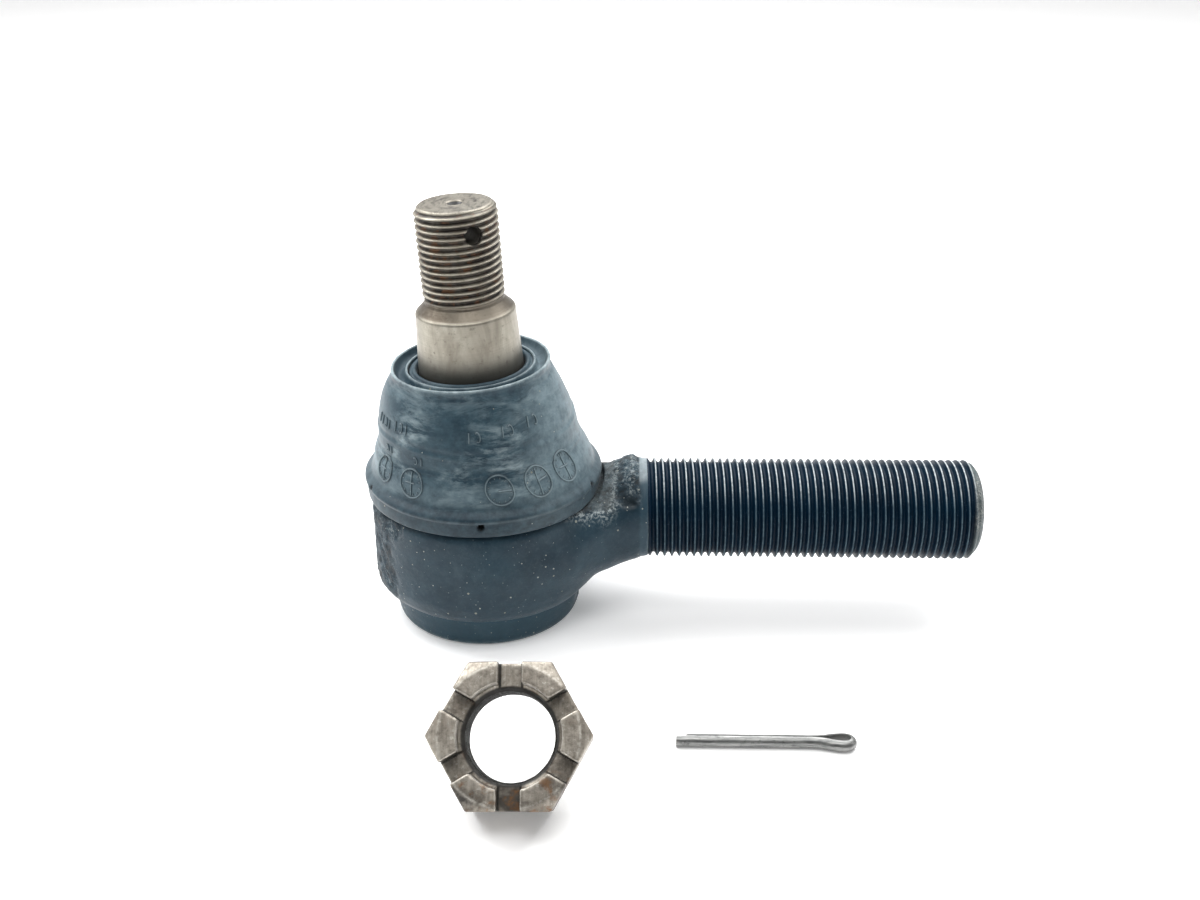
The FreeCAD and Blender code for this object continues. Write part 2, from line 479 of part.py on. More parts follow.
# six slots across the middles of the flats, cut from the top face
for k in range(3):
    q = sketch(nb, "nut_slot_%d_outline" % k, "YZ_Plane")
    w = S("nut_slot") / 2
    polyline(q, [(-w, t - 6.0), (w, t - 6.0), (w, t + 1.0), (-w, t + 1.0)], {
        0: (None, A + "nut_thick - sheet.nut_slot_deep"), 1: (None, A + "nut_thick - sheet.nut_slot_deep"),
        2: (None, A + "nut_thick + 1"), 3: (None, A + "nut_thick + 1")})
    q.AttachmentSupport = [(plane(nb, "XZ_Plane"), "")]
    q.MapMode = "FlatFace"
    q.AttachmentOffset = FreeCAD.Placement(V(0, 0, 0), FreeCAD.Rotation(V(0, 1, 0), 60.0 * k))
    pk = feature(nb, "Pocket", "nut_slot_%d" % k, q, Type=0, Midplane=True)
    pk.setExpression("Length", "sheet.nut_flats * 1.5mm")
doc.recompute()
# tipped back on the rear edge of one flat, its slotted face turned up and towards -Y
tip = math.radians(S("nut_tip_deg"))
half = S("nut_thick") / 2
turned_nut = FreeCAD.Rotation(V(0, 0, 1), S("nut_turn_deg")).multiply(FreeCAD.Rotation(V(1, 0, 0), 90.0 - S("nut_tip_deg")))
middle = V(S("nut_mid_x"), S("nut_mid_y"), half * math.sin(tip) + S("nut_flats") / 2 * math.cos(tip))
nb.Placement = FreeCAD.Placement(middle - turned_nut.multVec(V(0, 0, half)), turned_nut)
doc.recompute()
# let it down until its rounded lower edge stands on the rest plane
drop = nb.Shape.optimalBoundingBox().ZMin
nb.Placement = FreeCAD.Placement(middle - V(0, 0, drop) - turned_nut.multVec(V(0, 0, half)), turned_nut)
print("nut middle", middle.z - drop, "drop", drop)

# ------------------------------------------------------------------ cotter_pin
# one half-round wire folded into an eye; it lies on its side, so the eye opens upward
pr, ll, ls = S("pin_rad"), S("pin_len_long"), S("pin_len_short")
ex0 = ll - 1.5
gap = 0.04
eye_pts = [V(ex0, -gap, 0), V(ex0 + 2.2, -0.55, 0), V(ex0 + 4.6, -1.35, 0), V(ex0 + 6.6, -1.30, 0), V(ex0 + 7.9, 0, 0),
           V(ex0 + 6.6, 1.30, 0), V(ex0 + 4.6, 1.35, 0), V(ex0 + 2.2, 0.55, 0), V(ex0, gap, 0)]
curve = Part.BSplineCurve()
curve.interpolate(Points=eye_pts, InitialTangent=V(2.4, -0.05, 0), FinalTangent=V(-2.4, -0.05, 0))
path = Part.Wire([Part.makeLine(V(0, -gap, 0), V(ex0, -gap, 0)), curve.toShape(), Part.makeLine(V(ex0, gap, 0), V(ll - ls, gap, 0))])
arc_ = Part.Arc(V(0, -gap, pr), V(0, -gap - pr, 0), V(0, -gap, -pr)).toShape()
dee = Part.Wire([arc_, Part.makeLine(V(0, -gap, -pr), V(0, -gap, pr))])
pin = path.makePipeShell([dee], True, False, 1)
cp = doc.addObject("Part::Feature", "cotter_pin")
cp.Label = "cotter_pin"
cp.Shape = pin
cp.Placement = FreeCAD.Placement(V(S("pin_x"), S("pin_y"), pr), FreeCAD.Rotation(V(0, 0, 1), 0.0))

# ------------------------------------------------------------------ placements
tilt = FreeCAD.Rotation(V(0, 1, 0), -S("lean_deg"))
sb.Placement = FreeCAD.Placement(V(0, 0, S("axis_height")), tilt.multiply(FreeCAD.Rotation(V(0, 0, 1), S("hole_turn_deg"))))
doc.getObject("boot_wiper").Placement = FreeCAD.Placement(V(0, 0, S("axis_height")), tilt)
doc.recompute()

NODES = ["socket_housing", "ball_stud", "upper_bearing", "lower_bearing", "preload_spring", "closure_plate", "closure_seal",
         "dust_boot", "boot_base_ring", "boot_wiper", "castle_nut", "cotter_pin"]
bad = []
for o in doc.Objects:
    if any(w in ("Invalid", "Error") for w in o.State):
        bad.append((o.Name, list(o.State)))
if bad:
    raise RuntimeError("objects in error: %s" % bad)
os.makedirs("parts", exist_ok=True)
for nme in NODES:
    ob = [o for o in doc.Objects if o.Label == nme][0]
    shp = ob.Shape
    if shp.isNull() or not shp.isValid():
        raise RuntimeError("bad shape " + nme)
    bb_ = shp.optimalBoundingBox()
    print(nme, "solids", len(shp.Solids), "vol", round(shp.Volume, 1), "box", [round(v, 2) for v in (
        bb_.XMin, bb_.XMax, bb_.YMin, bb_.YMax, bb_.ZMin, bb_.ZMax)])
    shp.exportStep("parts/" + nme + ".step")
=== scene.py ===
import math

import bpy
import numpy as np
import openvdb as vdb
from mathutils import Matrix, Vector


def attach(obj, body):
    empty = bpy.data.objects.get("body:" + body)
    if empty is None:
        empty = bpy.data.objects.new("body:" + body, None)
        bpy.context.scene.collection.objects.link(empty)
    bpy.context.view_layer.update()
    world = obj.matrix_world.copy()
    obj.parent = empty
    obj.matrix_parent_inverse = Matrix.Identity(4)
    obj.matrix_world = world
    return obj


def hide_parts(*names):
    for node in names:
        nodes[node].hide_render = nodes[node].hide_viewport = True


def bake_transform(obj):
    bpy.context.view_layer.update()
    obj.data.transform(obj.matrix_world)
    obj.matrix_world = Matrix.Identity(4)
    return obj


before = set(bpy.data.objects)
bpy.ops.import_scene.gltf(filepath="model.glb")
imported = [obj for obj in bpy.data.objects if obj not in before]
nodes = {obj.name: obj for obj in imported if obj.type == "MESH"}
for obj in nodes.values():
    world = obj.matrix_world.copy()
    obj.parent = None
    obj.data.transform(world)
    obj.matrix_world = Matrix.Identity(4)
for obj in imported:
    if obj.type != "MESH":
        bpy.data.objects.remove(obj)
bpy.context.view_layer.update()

MM = 0.001
ZB = 30.8                       # height of the ball's centre and the shank's axis
LEAN = math.radians(3.0)        # the stud and the boot's head lean toward -X at rest
rng = np.random.RandomState(7)


# ---------------------------------------------------------------- number helpers
def smooth(t):
    t = np.clip(t, 0.0, 1.0)
    return t * t * (3 - 2 * t)


_lat = rng.rand(64, 64, 64).astype(np.float32)


def vnoise(p, scale, seed=0):
    """Smooth value noise in 0..1 at points p (mm), with features about scale mm across."""
    q = np.asarray(p, float) / scale + seed * 17.31
    i = np.floor(q).astype(int)
    f = q - i
    f = f * f * (3 - 2 * f)
    out = np.zeros(len(q))
    for dx in (0, 1):
        for dy in (0, 1):
            for dz in (0, 1):
                w = (f[:, 0] if dx else 1 - f[:, 0]) * (f[:, 1] if dy else 1 - f[:, 1]) * (f[:, 2] if dz else 1 - f[:, 2])
                out += w * _lat[(i[:, 0] + dx) % 64, (i[:, 1] + dy) % 64, (i[:, 2] + dz) % 64]
    return out


def fbm(p, scale, octaves=3, seed=0):
    out, amp, tot = 0.0, 1.0, 0.0
    for k in range(octaves):
        out = out + amp * vnoise(p, scale / 2 ** k, seed + k)
        tot += amp
        amp *= 0.5
    return out / tot


def poly_sdf(pts, x, y):
    """Signed distance to a closed outline, negative inside."""
    pts = np.asarray(pts, float)
    n = len(pts)
    d = np.full(x.shape, 1e9)
    s = np.ones(x.shape)
    for i in range(n):
        a, b = pts[i], pts[(i + 1) % n]
        e = b - a
        wx, wy = x - a[0], y - a[1]
        t = np.clip((wx * e[0] + wy * e[1]) / (e @ e), 0, 1)
        d = np.minimum(d, (wx - e[0] * t) ** 2 + (wy - e[1] * t) ** 2)
        c1, c2, c3 = y >= a[1], y < b[1], e[0] * wy > e[1] * wx
        flip = (c1 & c2 & c3) | (~c1 & ~c2 & ~c3)
        s = np.where(flip, -s, s)
    return s * np.sqrt(d)


def smin(a, b, k):
    h = np.clip(0.5 + 0.5 * (b - a) / k, 0, 1)
    return b + (a - b) * h - k * h * (1 - h)


def smax(a, b, k):
    return -smin(-a, -b, k)


def blur(g, times=1):
    for _ in range(times):
        for ax in range(3):
            g = (np.roll(g, 1, ax) + 2 * g + np.roll(g, -1, ax)) * 0.25
    return g


def surface_of(field, origin, step, adapt=0.0):
    """Zero surface of a distance grid: (points in mm, faces)."""
    g = vdb.FloatGrid(background=3.0)
    g.copyFromArray(np.ascontiguousarray(np.clip(field, -3, 3).astype(np.float32)))
    pts, tris, quads = g.convertToPolygons(isovalue=0.0, adaptivity=adapt)
    pts = pts.astype(float) * step + np.asarray(origin, float)
    faces = [tuple(int(i) for i in t[::-1]) for t in tris] + [tuple(int(i) for i in q[::-1]) for q in quads]
    return pts, faces


def make(name, pts, faces, material, shade=True):
    me = bpy.data.meshes.new(name)
    me.from_pydata([tuple(p) for p in np.asarray(pts) * MM], [], faces)
    me.update()
    me.validate()
    if shade:
        me.polygons.foreach_set("use_smooth", [True] * len(me.polygons))
    o = bpy.data.objects.new(name, me)
    bpy.context.scene.collection.objects.link(o)
    if material:
        me.materials.append(material)
    return o


def attr(o, name, values, kind="FLOAT"):
    a = o.data.attributes.new(name, kind, "POINT")
    if kind == "FLOAT":
        a.data.foreach_set("value", np.asarray(values, np.float32))
    else:
        a.data.foreach_set("vector", np.asarray(values, np.float32).ravel())


def grid_faces(rows, cols, wrap_cols=True, wrap_rows=False):
    f = []
    rr = rows if wrap_rows else rows - 1
    cc = cols if wrap_cols else cols - 1
    for i in range(rr):
        a0, b0 = i * cols, ((i + 1) % rows) * cols
        for j in range(cc):
            k = (j + 1) % cols
            f.append((a0 + j, a0 + k, b0 + k, b0 + j))
    return f


def lean_pts(p, weight=1.0):
    """Turn points about the ball's centre by the stud's lean."""
    p = np.array(p, float)
    a = LEAN * (weight if np.ndim(weight) else np.full(len(p), weight))
    x, z = p[:, 0], p[:, 2] - ZB
    return np.c_[x * np.cos(a) - z * np.sin(a), p[:, 1], ZB + x * np.sin(a) + z * np.cos(a)]


# ---------------------------------------------------------------- material helpers
class Mat:
    def __init__(self, name):
        self.m = bpy.data.materials.new(name)
        self.m.use_nodes = True
        self.nt = self.m.node_tree
        self.nt.nodes.clear()
        self.out = self.nt.nodes.new("ShaderNodeOutputMaterial")
        self.b = self.nt.nodes.new("ShaderNodeBsdfPrincipled")
        self.nt.links.new(self.b.outputs[0], self.out.inputs[0])
        self._obj = None

    def n(self, kind, props=None, **ins):
        x = self.nt.nodes.new("ShaderNode" + kind)
        for k, v in (props or {}).items():
            setattr(x, k, v)
        for k, v in ins.items():
            self.put(x, k, v)
        return x

    def put(self, node, key, v):
        if isinstance(key, str) and key.startswith("i") and key[1:].isdigit():
            sock = node.inputs[int(key[1:])]
        else:
            sock = node.inputs[key]
        if hasattr(v, "is_output"):
            self.nt.links.new(v, sock)
        elif hasattr(v, "outputs"):
            self.nt.links.new(v.outputs[0], sock)
        else:
            sock.default_value = v

    def obj(self):
        if self._obj is None:
            self._obj = self.n("TexCoord").outputs["Object"]
        return self._obj

    def attribute(self, name, vector=False):
        x = self.n("Attribute", {"attribute_name": name})
        return x.outputs["Vector" if vector else "Fac"]

    def noise(self, vec, scale, detail=4.0, rough=0.55, dist=0.0):
        x = self.n("TexNoise", None, Vector=vec, Scale=scale, Detail=detail, Roughness=rough, Distortion=dist)
        return x.outputs["Fac"]

    def voronoi(self, vec, scale, feature="F1", out="Distance", rand=1.0):
        x = self.n("TexVoronoi", {"feature": feature}, Vector=vec, Scale=scale, Randomness=rand)
        return x.outputs[out]

    def math(self, op, a, b=0.0, c=None, clamp=False):
        x = self.n("Math", {"operation": op, "use_clamp": clamp})
        self.put(x, "i0", a)
        self.put(x, "i1", b)
        if c is not None:
            self.put(x, "i2", c)
        return x.outputs[0]

    def ramp(self, fac, stops, interp="LINEAR"):
        x = self.n("ValToRGB")
        x.color_ramp.interpolation = interp
        e = x.color_ramp.elements
        while len(e) < len(stops):
            e.new(0.5)
        for el, (p, c) in zip(e, stops):
            el.position = p
            el.color = (c, c, c, 1) if isinstance(c, (int, float)) else (*c, 1)
        self.put(x, "Fac", fac)
        return x.outputs["Color"]

    def mix(self, fac, a, b, blend="MIX"):
        x = self.n("Mix", {"data_type": "RGBA", "blend_type": blend})
        self.put(x, "i0", fac)
        for i, v in ((6, a), (7, b)):
            if isinstance(v, tuple):
                v = (*v, 1.0) if len(v) == 3 else v
            self.put(x, "i%d" % i, v)
        return x.outputs[2]

    def sep(self, vec):
        return self.n("SeparateXYZ", None, Vector=vec)

    def scaled(self, vec, s):
        x = self.n("Mapping", {"vector_type": "POINT"})
        self.put(x, "Vector", vec)
        x.inputs["Scale"].default_value = s
        return x.outputs[0]

    def bump(self, height, strength=0.5, dist=0.0003, normal=None):
        x = self.n("Bump", None, Height=height, Strength=strength, Distance=dist)
        if normal is not None:
            self.put(x, "Normal", normal)
        return x.outputs[0]

    def set(self, **kw):
        names = {"color": "Base Color", "rough": "Roughness", "metal": "Metallic", "normal": "Normal", "ior": "IOR",
                 "sheen": "Sheen Weight", "sheen_rough": "Sheen Roughness", "coat": "Coat Weight", "coat_rough": "Coat Roughness",
                 "spec": "Specular IOR Level", "aniso": "Anisotropic", "sheen_tint": "Sheen Tint"}
        for k, v in kw.items():
            if k in ("color", "sheen_tint") and isinstance(v, tuple) and len(v) == 3:
                v = (*v, 1.0)
            self.put(self.b, names[k], v)
        return self.m


def srgb(r, g, b):
    def f(c):
        c = c / 255.0
        return c / 12.92 if c <= 0.04045 else ((c + 0.055) / 1.055) ** 2.4
    return (f(r), f(g), f(b))


# ---------------------------------------------------------------- materials
def housing_material():
    """Dark blue-grey paint over a forging: smooth die faces, a pitted band along the trimmed flash line,
    thin paint with bare edges, pale dust specks."""
    m = Mat("forging_paint")
    v = m.obj()
    band = m.attribute("flash_band")
    edge = m.attribute("edge_wear")
    ridge = m.attribute("ridge")
    pilot = m.attribute("pilot")
    big = m.noise(v, 55.0, 4.0, 0.6)
    fine = m.noise(v, 1100.0, 5.0, 0.65)
    mid = m.noise(v, 300.0, 4.0, 0.6)
    base = m.mix(m.ramp(big, [(0.3, 0.0), (0.7, 1.0)]), srgb(19, 39, 50), srgb(41, 62, 73))
    base = m.mix(m.ramp(mid, [(0.40, 0.0), (0.75, 0.5)]), base, srgb(20, 40, 54))
    base = m.mix(m.ramp(fine, [(0.52, 0.0), (0.75, 0.35)]), base, srgb(60, 76, 83))
    # collar below the barrel mixed paler and bluer: painted light offsetting its shade
    base = m.mix(m.math("MULTIPLY", m.attribute("low"), 0.45), base, srgb(40, 72, 86))
    # pitted band: lighter worn crests, brown and black in the pits
    pitn = m.noise(v, 360.0, 7.0, 0.78, 0.3)
    pit2 = m.noise(v, 1300.0, 4.0, 0.7)
    dark = m.math("MULTIPLY", m.ramp(pitn, [(0.40, 1.0), (0.52, 0.0)]), band)
    base = m.mix(m.math("MULTIPLY", dark, 0.92), base, srgb(9, 15, 19))
    worn = m.math("MULTIPLY", m.math("MULTIPLY", m.ramp(pitn, [(0.52, 0.0), (0.62, 1.0)]), band), m.ramp(pit2, [(0.42, 0.05), (0.60, 0.95)]))
    base = m.mix(m.math("MULTIPLY", worn, 0.85), base, srgb(132, 140, 140))
    brown = m.math("MULTIPLY", m.ramp(m.noise(v, 150.0, 4.0, 0.65), [(0.50, 0.0), (0.66, 1.0)]), m.math("MULTIPLY", band, 0.6))
    base = m.mix(m.math("MULTIPLY", brown, 0.7), base, srgb(66, 64, 60))
    # upward web beside the boot: painted paler, painted light from above; the hollow behind it: painted shade, near
    # black
    base = m.mix(m.math("MULTIPLY", m.attribute("web"), m.ramp(pitn, [(0.32, 0.10), (0.62, 0.50)])), base, srgb(100, 106, 106))
    base = m.mix(m.math("MULTIPLY", m.attribute("hollow"), 0.85), base, srgb(3, 22, 30))
    # torn ridge: bright broken flecks
    fleck = m.math("MULTIPLY", ridge, m.ramp(pit2, [(0.47, 0.0), (0.58, 0.85)]))
    base = m.mix(m.math("MULTIPLY", fleck, 0.8), base, srgb(158, 167, 168))
    # turned ring next to the thread: smooth, paler; its top painted pale as a painted highlight
    base = m.mix(m.math("MULTIPLY", pilot, 0.6), base, srgb(48, 70, 82))
    base = m.mix(m.math("MULTIPLY", m.attribute("pilot_top_highlight"), m.ramp(mid, [(0.35, 0.4), (0.60, 0.9)])), base, srgb(136, 146, 150))
    # thin paint on edges
    ew = m.math("MULTIPLY", edge, m.ramp(m.noise(v, 700.0, 4.0, 0.7), [(0.34, 0.0), (0.56, 1.0)]))
    base = m.mix(ew, base, srgb(112, 126, 130))
    # dust specks of several sizes
    for scale, r, keep, col in ((520.0, 0.20, 0.86, (150, 150, 138)), (950.0, 0.24, 0.86, (168, 172, 164)), (1500.0, 0.26, 0.88, (120, 132, 134)), (260.0, 0.075, 0.88, (196, 196, 184))):
        vo = m.n("TexVoronoi", {"feature": "F1"}, Vector=v, Scale=scale, Randomness=1.0)
        ch = m.sep(vo.outputs["Color"])
        near = m.math("LESS_THAN", vo.outputs["Distance"], m.math("MULTIPLY", ch.outputs[1], r))
        pick = m.math("GREATER_THAN", ch.outputs[0], keep)
        base = m.mix(m.math("MULTIPLY", m.math("MULTIPLY", near, pick), 0.6), base, srgb(*col))
    film = m.ramp(m.noise(v, 130.0, 6.0, 0.72, 0.4), [(0.56, 0.0), (0.80, 0.30)])
    base = m.mix(m.math("MULTIPLY", film, 0.7), base, srgb(80, 98, 106))
    h1 = m.math("MULTIPLY", fine, 0.35)
    h2 = m.math("MULTIPLY", m.math("MULTIPLY", pitn, band), 2.6)
    h3 = m.math("MULTIPLY", m.math("MULTIPLY", pit2, m.math("MAXIMUM", band, ridge)), 1.0)
    h = m.math("ADD", m.math("ADD", h1, h2), m.math("ADD", h3, m.math("MULTIPLY", mid, 0.7)))
    nrm = m.bump(h, 0.55, 0.00035)
    rough = m.math("ADD", m.math("MULTIPLY", mid, 0.22), m.math("ADD", 0.28, m.math("MULTIPLY", band, 0.22)), clamp=True)
    return m.set(color=base, rough=rough, metal=0.0, normal=nrm, ior=1.5, spec=0.22)


def thread_material():
    """Near-black navy thread flanks with thin rubbed crests, paler towards the top as a painted highlight; bare
    speckled end chamfer.
    """
    m = Mat("shank_thread_paint")
    v = m.obj()
    crest = m.attribute("crest")
    endc = m.attribute("bare_end")
    n1 = m.noise(v, 900.0, 4.0, 0.65)
    n2 = m.noise(v, 90.0, 3.0, 0.6)
    base = m.mix(n2, srgb(0, 12, 26), srgb(2, 32, 51))
    base = m.mix(m.ramp(m.noise(v, 1600.0, 3.0, 0.6), [(0.60, 0.0), (0.72, 0.35)]), base, srgb(70, 90, 104))
    cr = m.math("MULTIPLY", m.ramp(crest, [(0.76, 0.0), (0.95, 1.0)]), m.ramp(n1, [(0.30, 0.35), (0.62, 1.0)]))
    # crests grow paler towards the top of the shank: painted highlight from light above
    up = m.n("MapRange", {"interpolation_type": "SMOOTHSTEP"}, Value=m.sep(v).outputs[2])
    for k, val in (("From Min", 0.0370), ("From Max", 0.0446), ("To Min", 0.0), ("To Max", 1.0)):
        up.inputs[k].default_value = val
    base = m.mix(cr, base, m.mix(up.outputs[0], srgb(76, 95, 104), srgb(186, 193, 194)))
    spk = m.ramp(m.noise(v, 2100.0, 3.0, 0.7), [(0.44, 0.0), (0.62, 1.0)])
    zone = m.ramp(m.noise(v, 160.0, 3.0, 0.6), [(0.40, 0.0), (0.60, 1.0)])
    bare = m.mix(m.math("MULTIPLY", spk, zone), srgb(78, 86, 88), srgb(150, 152, 148))
    base = m.mix(endc, base, bare)
    metal = m.math("MULTIPLY", m.math("MULTIPLY", endc, 0.6), 0.6)
    h = m.math("ADD", m.math("MULTIPLY", n1, 0.4), m.math("MULTIPLY", m.math("MULTIPLY", spk, endc), 0.8))
    rough = m.math("ADD", 0.34, m.math("MULTIPLY", n1, 0.22))
    return m.set(color=base, rough=rough, metal=metal, normal=m.bump(h, 0.35, 0.0002), ior=1.45, spec=0.14)


def stud_material():
    """Turned steel, fine circumferential tool marks, brown in the thread roots, darker towards the boot."""
    m = Mat("stud_turned_steel")
    v = m.attribute("local", True)
    s = m.sep(v)
    root = m.attribute("thread_root")
    drill_shade = m.attribute("drill_hole_shade")
    ring = m.math("MULTIPLY", s.outputs[2], 1.0)
    streak = m.noise(m.scaled(v, (70.0, 70.0, 4200.0)), 1.0, 4.0, 0.6)
    smear = m.noise(m.scaled(v, (190.0, 190.0, 60.0)), 1.0, 4.0, 0.65, 0.4)
    blot = m.noise(v, 150.0, 5.0, 0.65, 0.5)
    fine = m.noise(v, 1300.0, 4.0, 0.7)
    base = m.mix(m.ramp(smear, [(0.3, 0.0), (0.7, 1.0)]), srgb(126, 120, 109), srgb(176, 172, 159))
    base = m.mix(m.math("MULTIPLY", streak, 0.42), base, srgb(98, 92, 82))
    base = m.mix(m.ramp(blot, [(0.56, 0.0), (0.76, 0.45)]), base, srgb(96, 88, 76))
    # worn, scratched top face with dark rings and nicks
    top = m.attribute("top_face")
    scr = m.noise(m.scaled(v, (900.0, 260.0, 300.0)), 1.0, 5.0, 0.7, 0.8)
    base = m.mix(m.math("MULTIPLY", top, 0.45), base, srgb(112, 108, 100))
    base = m.mix(m.math("MULTIPLY", top, m.ramp(scr, [(0.50, 0.0), (0.62, 0.75)])), base, srgb(70, 66, 60))
    base = m.mix(m.math("MULTIPLY", m.attribute("top_mark"), m.ramp(fine, [(0.36, 0.3), (0.58, 0.9)])), base, srgb(54, 50, 45))
    # brown staining in the thread
    stain = m.math("MULTIPLY", root, m.ramp(blot, [(0.25, 0.60), (0.6, 1.0)]))
    base = m.mix(stain, base, srgb(36, 30, 24))
    rust = m.math("MULTIPLY", m.ramp(m.noise(v, 260.0, 5.0, 0.7, 0.8), [(0.52, 0.0), (0.66, 1.0)]), m.math("ADD", 0.04, m.math("MULTIPLY", root, 0.8)))
    base = m.mix(rust, base, srgb(104, 70, 42))
    # greasy line in the relief groove and under the thread
    grv = m.n("MapRange", {"interpolation_type": "SMOOTHSTEP"}, Value=m.math("ABSOLUTE", m.math("SUBTRACT", s.outputs[2], 0.0627)))
    for k, val in (("From Min", 0.0014), ("From Max", 0.0021), ("To Min", 0.80), ("To Max", 0.0)):
        grv.inputs[k].default_value = val
    base = m.mix(m.math("MULTIPLY", grv.outputs[0], m.ramp(smear, [(0.3, 0.4), (0.6, 1.0)])), base, srgb(58, 46, 34))
    # dark band where the cone leaves the boot
    low = m.n("MapRange", {"interpolation_type": "SMOOTHSTEP"}, Value=m.math("ADD", s.outputs[2], m.math("MULTIPLY", smear, -0.004)))
    for k, val in (("From Min", 0.0405), ("From Max", 0.0515), ("To Min", 1.0), ("To Max", 0.0)):
        low.inputs[k].default_value = val
    base = m.mix(m.math("MULTIPLY", low.outputs[0], 0.92), base, srgb(26, 30, 31))
    dirt = m.ramp(m.noise(v, 700.0, 3.0, 0.6), [(0.60, 0.0), (0.75, 0.5)])
    base = m.mix(dirt, base, srgb(66, 60, 50))
    # drilled holes mixed near black: painted shade in the centre drill and the cross hole
    base = m.mix(m.math("MULTIPLY", drill_shade, 1.0, clamp=True), base, srgb(12, 12, 12))
    h = m.math("ADD", m.math("MULTIPLY", streak, 0.8), m.math("MULTIPLY", fine, 0.5))
    rough = m.math("ADD", 0.34, m.math("MULTIPLY", m.math("ADD", blot, root), 0.16), clamp=True)
    metal = m.math("SUBTRACT", 0.80, m.math("MULTIPLY", m.math("MAXIMUM", m.math("MAXIMUM", stain, drill_shade), low.outputs[0]), 0.66), clamp=True)
    return m.set(color=base, rough=rough, metal=metal, normal=m.bump(h, 0.30, 0.00012), aniso=0.2)


def boot_material(name="boot_rubber_bloom", bloom=1.0):
    """Matte blue-grey rubber with pale bloom in patches and a smooth moulded skin."""
    m = Mat(name)
    v = m.attribute("rest", True)
    hole = m.attribute("bead_hole_shade")
    s = m.sep(v)
    n1 = m.noise(m.scaled(v, (46.0, 46.0, 78.0)), 1.0, 5.0, 0.62, 0.3)
    n2 = m.noise(m.scaled(v, (92.0, 92.0, 300.0)), 1.0, 7.0, 0.72, 0.35)
    n3 = m.noise(v, 1000.0, 4.0, 0.65)
    n4 = m.noise(v, 380.0, 5.0, 0.68)
    base = m.mix(m.ramp(n4, [(0.32, 0.0), (0.70, 1.0)]), srgb(19, 41, 53), srgb(42, 65, 76))
    # pale bloom: most in the lower band between the parting line and the dials, and near the rim
    belt = m.n("MapRange", {"interpolation_type": "SMOOTHSTEP"}, Value=m.math("ABSOLUTE", m.math("SUBTRACT", s.outputs[2], 0.0585)))
    for k, val in (("From Min", 0.0030), ("From Max", 0.0130), ("To Min", 1.0), ("To Max", 0.38)):
        belt.inputs[k].default_value = val
    patch = m.math("MULTIPLY", m.ramp(n1, [(0.46, 0.0), (0.60, 1.0)]), m.ramp(n2, [(0.45, 0.0), (0.64, 1.0)]))
    patch = m.math("MULTIPLY", m.math("MULTIPLY", patch, belt.outputs[0]), 0.62 * bloom)
    haze = m.math("MULTIPLY", m.math("MULTIPLY", m.ramp(n2, [(0.42, 0.0), (0.68, 0.60)]), m.ramp(n1, [(0.36, 0.25), (0.58, 1.0)])), bloom)
    base = m.mix(haze, base, srgb(84, 104, 112))
    base = m.mix(patch, base, srgb(152, 167, 171))
    # paler flanks of the boot: painted rim light on its sides; a paler band on the foot above the bead
    flank = m.n("MapRange", {"interpolation_type": "SMOOTHSTEP"}, Value=m.math("ABSOLUTE", m.math("ADD", s.outputs[0], 0.0055)))
    for k, val in (("From Min", 0.0150), ("From Max", 0.0270), ("To Min", 0.0), ("To Max", 1.0)):
        flank.inputs[k].default_value = val
    foot = m.n("MapRange", {"interpolation_type": "SMOOTHSTEP"}, Value=m.math("ABSOLUTE", m.math("SUBTRACT", s.outputs[2], 0.0488)))
    for k, val in (("From Min", 0.0012), ("From Max", 0.0045), ("To Min", 0.45), ("To Max", 0.0)):
        foot.inputs[k].default_value = val
    flank_light_and_foot = m.math("MULTIPLY", m.math("MAXIMUM", flank.outputs[0], foot.outputs[0]), m.math("MULTIPLY", m.ramp(n4, [(0.28, 0.25), (0.66, 0.75)]), bloom))
    base = m.mix(flank_light_and_foot, base, srgb(112, 130, 137))
    # pale edges of the mouth's rings and the bead's ridge: painted highlight
    base = m.mix(m.math("MULTIPLY", m.attribute("rim_edge_highlight"), m.ramp(n4, [(0.34, 0.35), (0.60, 1.0)])), base, srgb(150, 164, 168))
    # darker, cleaner bead
    bead = m.n("MapRange", {"interpolation_type": "SMOOTHSTEP"}, Value=s.outputs[2])
    for k, val in (("From Min", 0.0440), ("From Max", 0.0490), ("To Min", 0.72), ("To Max", 0.0)):
        bead.inputs[k].default_value = val
    base = m.mix(bead.outputs[0], base, m.mix(m.ramp(n4, [(0.40, 0.0), (0.72, 1.0)]), srgb(20, 38, 48), srgb(42, 62, 72)))
    for scale, r, keep, col in ((520.0, 0.20, 0.93, (140, 138, 122)), (900.0, 0.22, 0.95, (172, 176, 168))):
        vo = m.n("TexVoronoi", {"feature": "F1"}, Vector=v, Scale=scale, Randomness=1.0)
        ch = m.sep(vo.outputs["Color"])
        near = m.math("LESS_THAN", vo.outputs["Distance"], m.math("MULTIPLY", ch.outputs[1], r))
        pick = m.math("GREATER_THAN", ch.outputs[0], keep)
        base = m.mix(m.math("MULTIPLY", m.math("MULTIPLY", near, pick), 0.55), base, srgb(*col))
    # raised marks: dark edges as painted shade, pale tops as painted highlight
    base = m.mix(m.math("MULTIPLY", m.attribute("rib_edge_shade"), 0.90), base, srgb(14, 27, 35))
    base = m.mix(m.math("MULTIPLY", m.attribute("rib_top_highlight"), 0.42), base, srgb(132, 148, 153))
    # bead holes mixed near black: painted shade inside the holes
    base = m.mix(hole, base, (0.0015, 0.0015, 0.0015))
    h = m.math("ADD", m.math("MULTIPLY", n3, 0.4), m.math("MULTIPLY", n4, 0.7))
    rough = m.math("ADD", 0.40, m.math("MULTIPLY", n2, 0.25))
    return m.set(color=base, rough=rough, normal=m.bump(h, 0.30, 0.0002), ior=1.5, spec=0.30, sheen=0.08, sheen_rough=0.35)


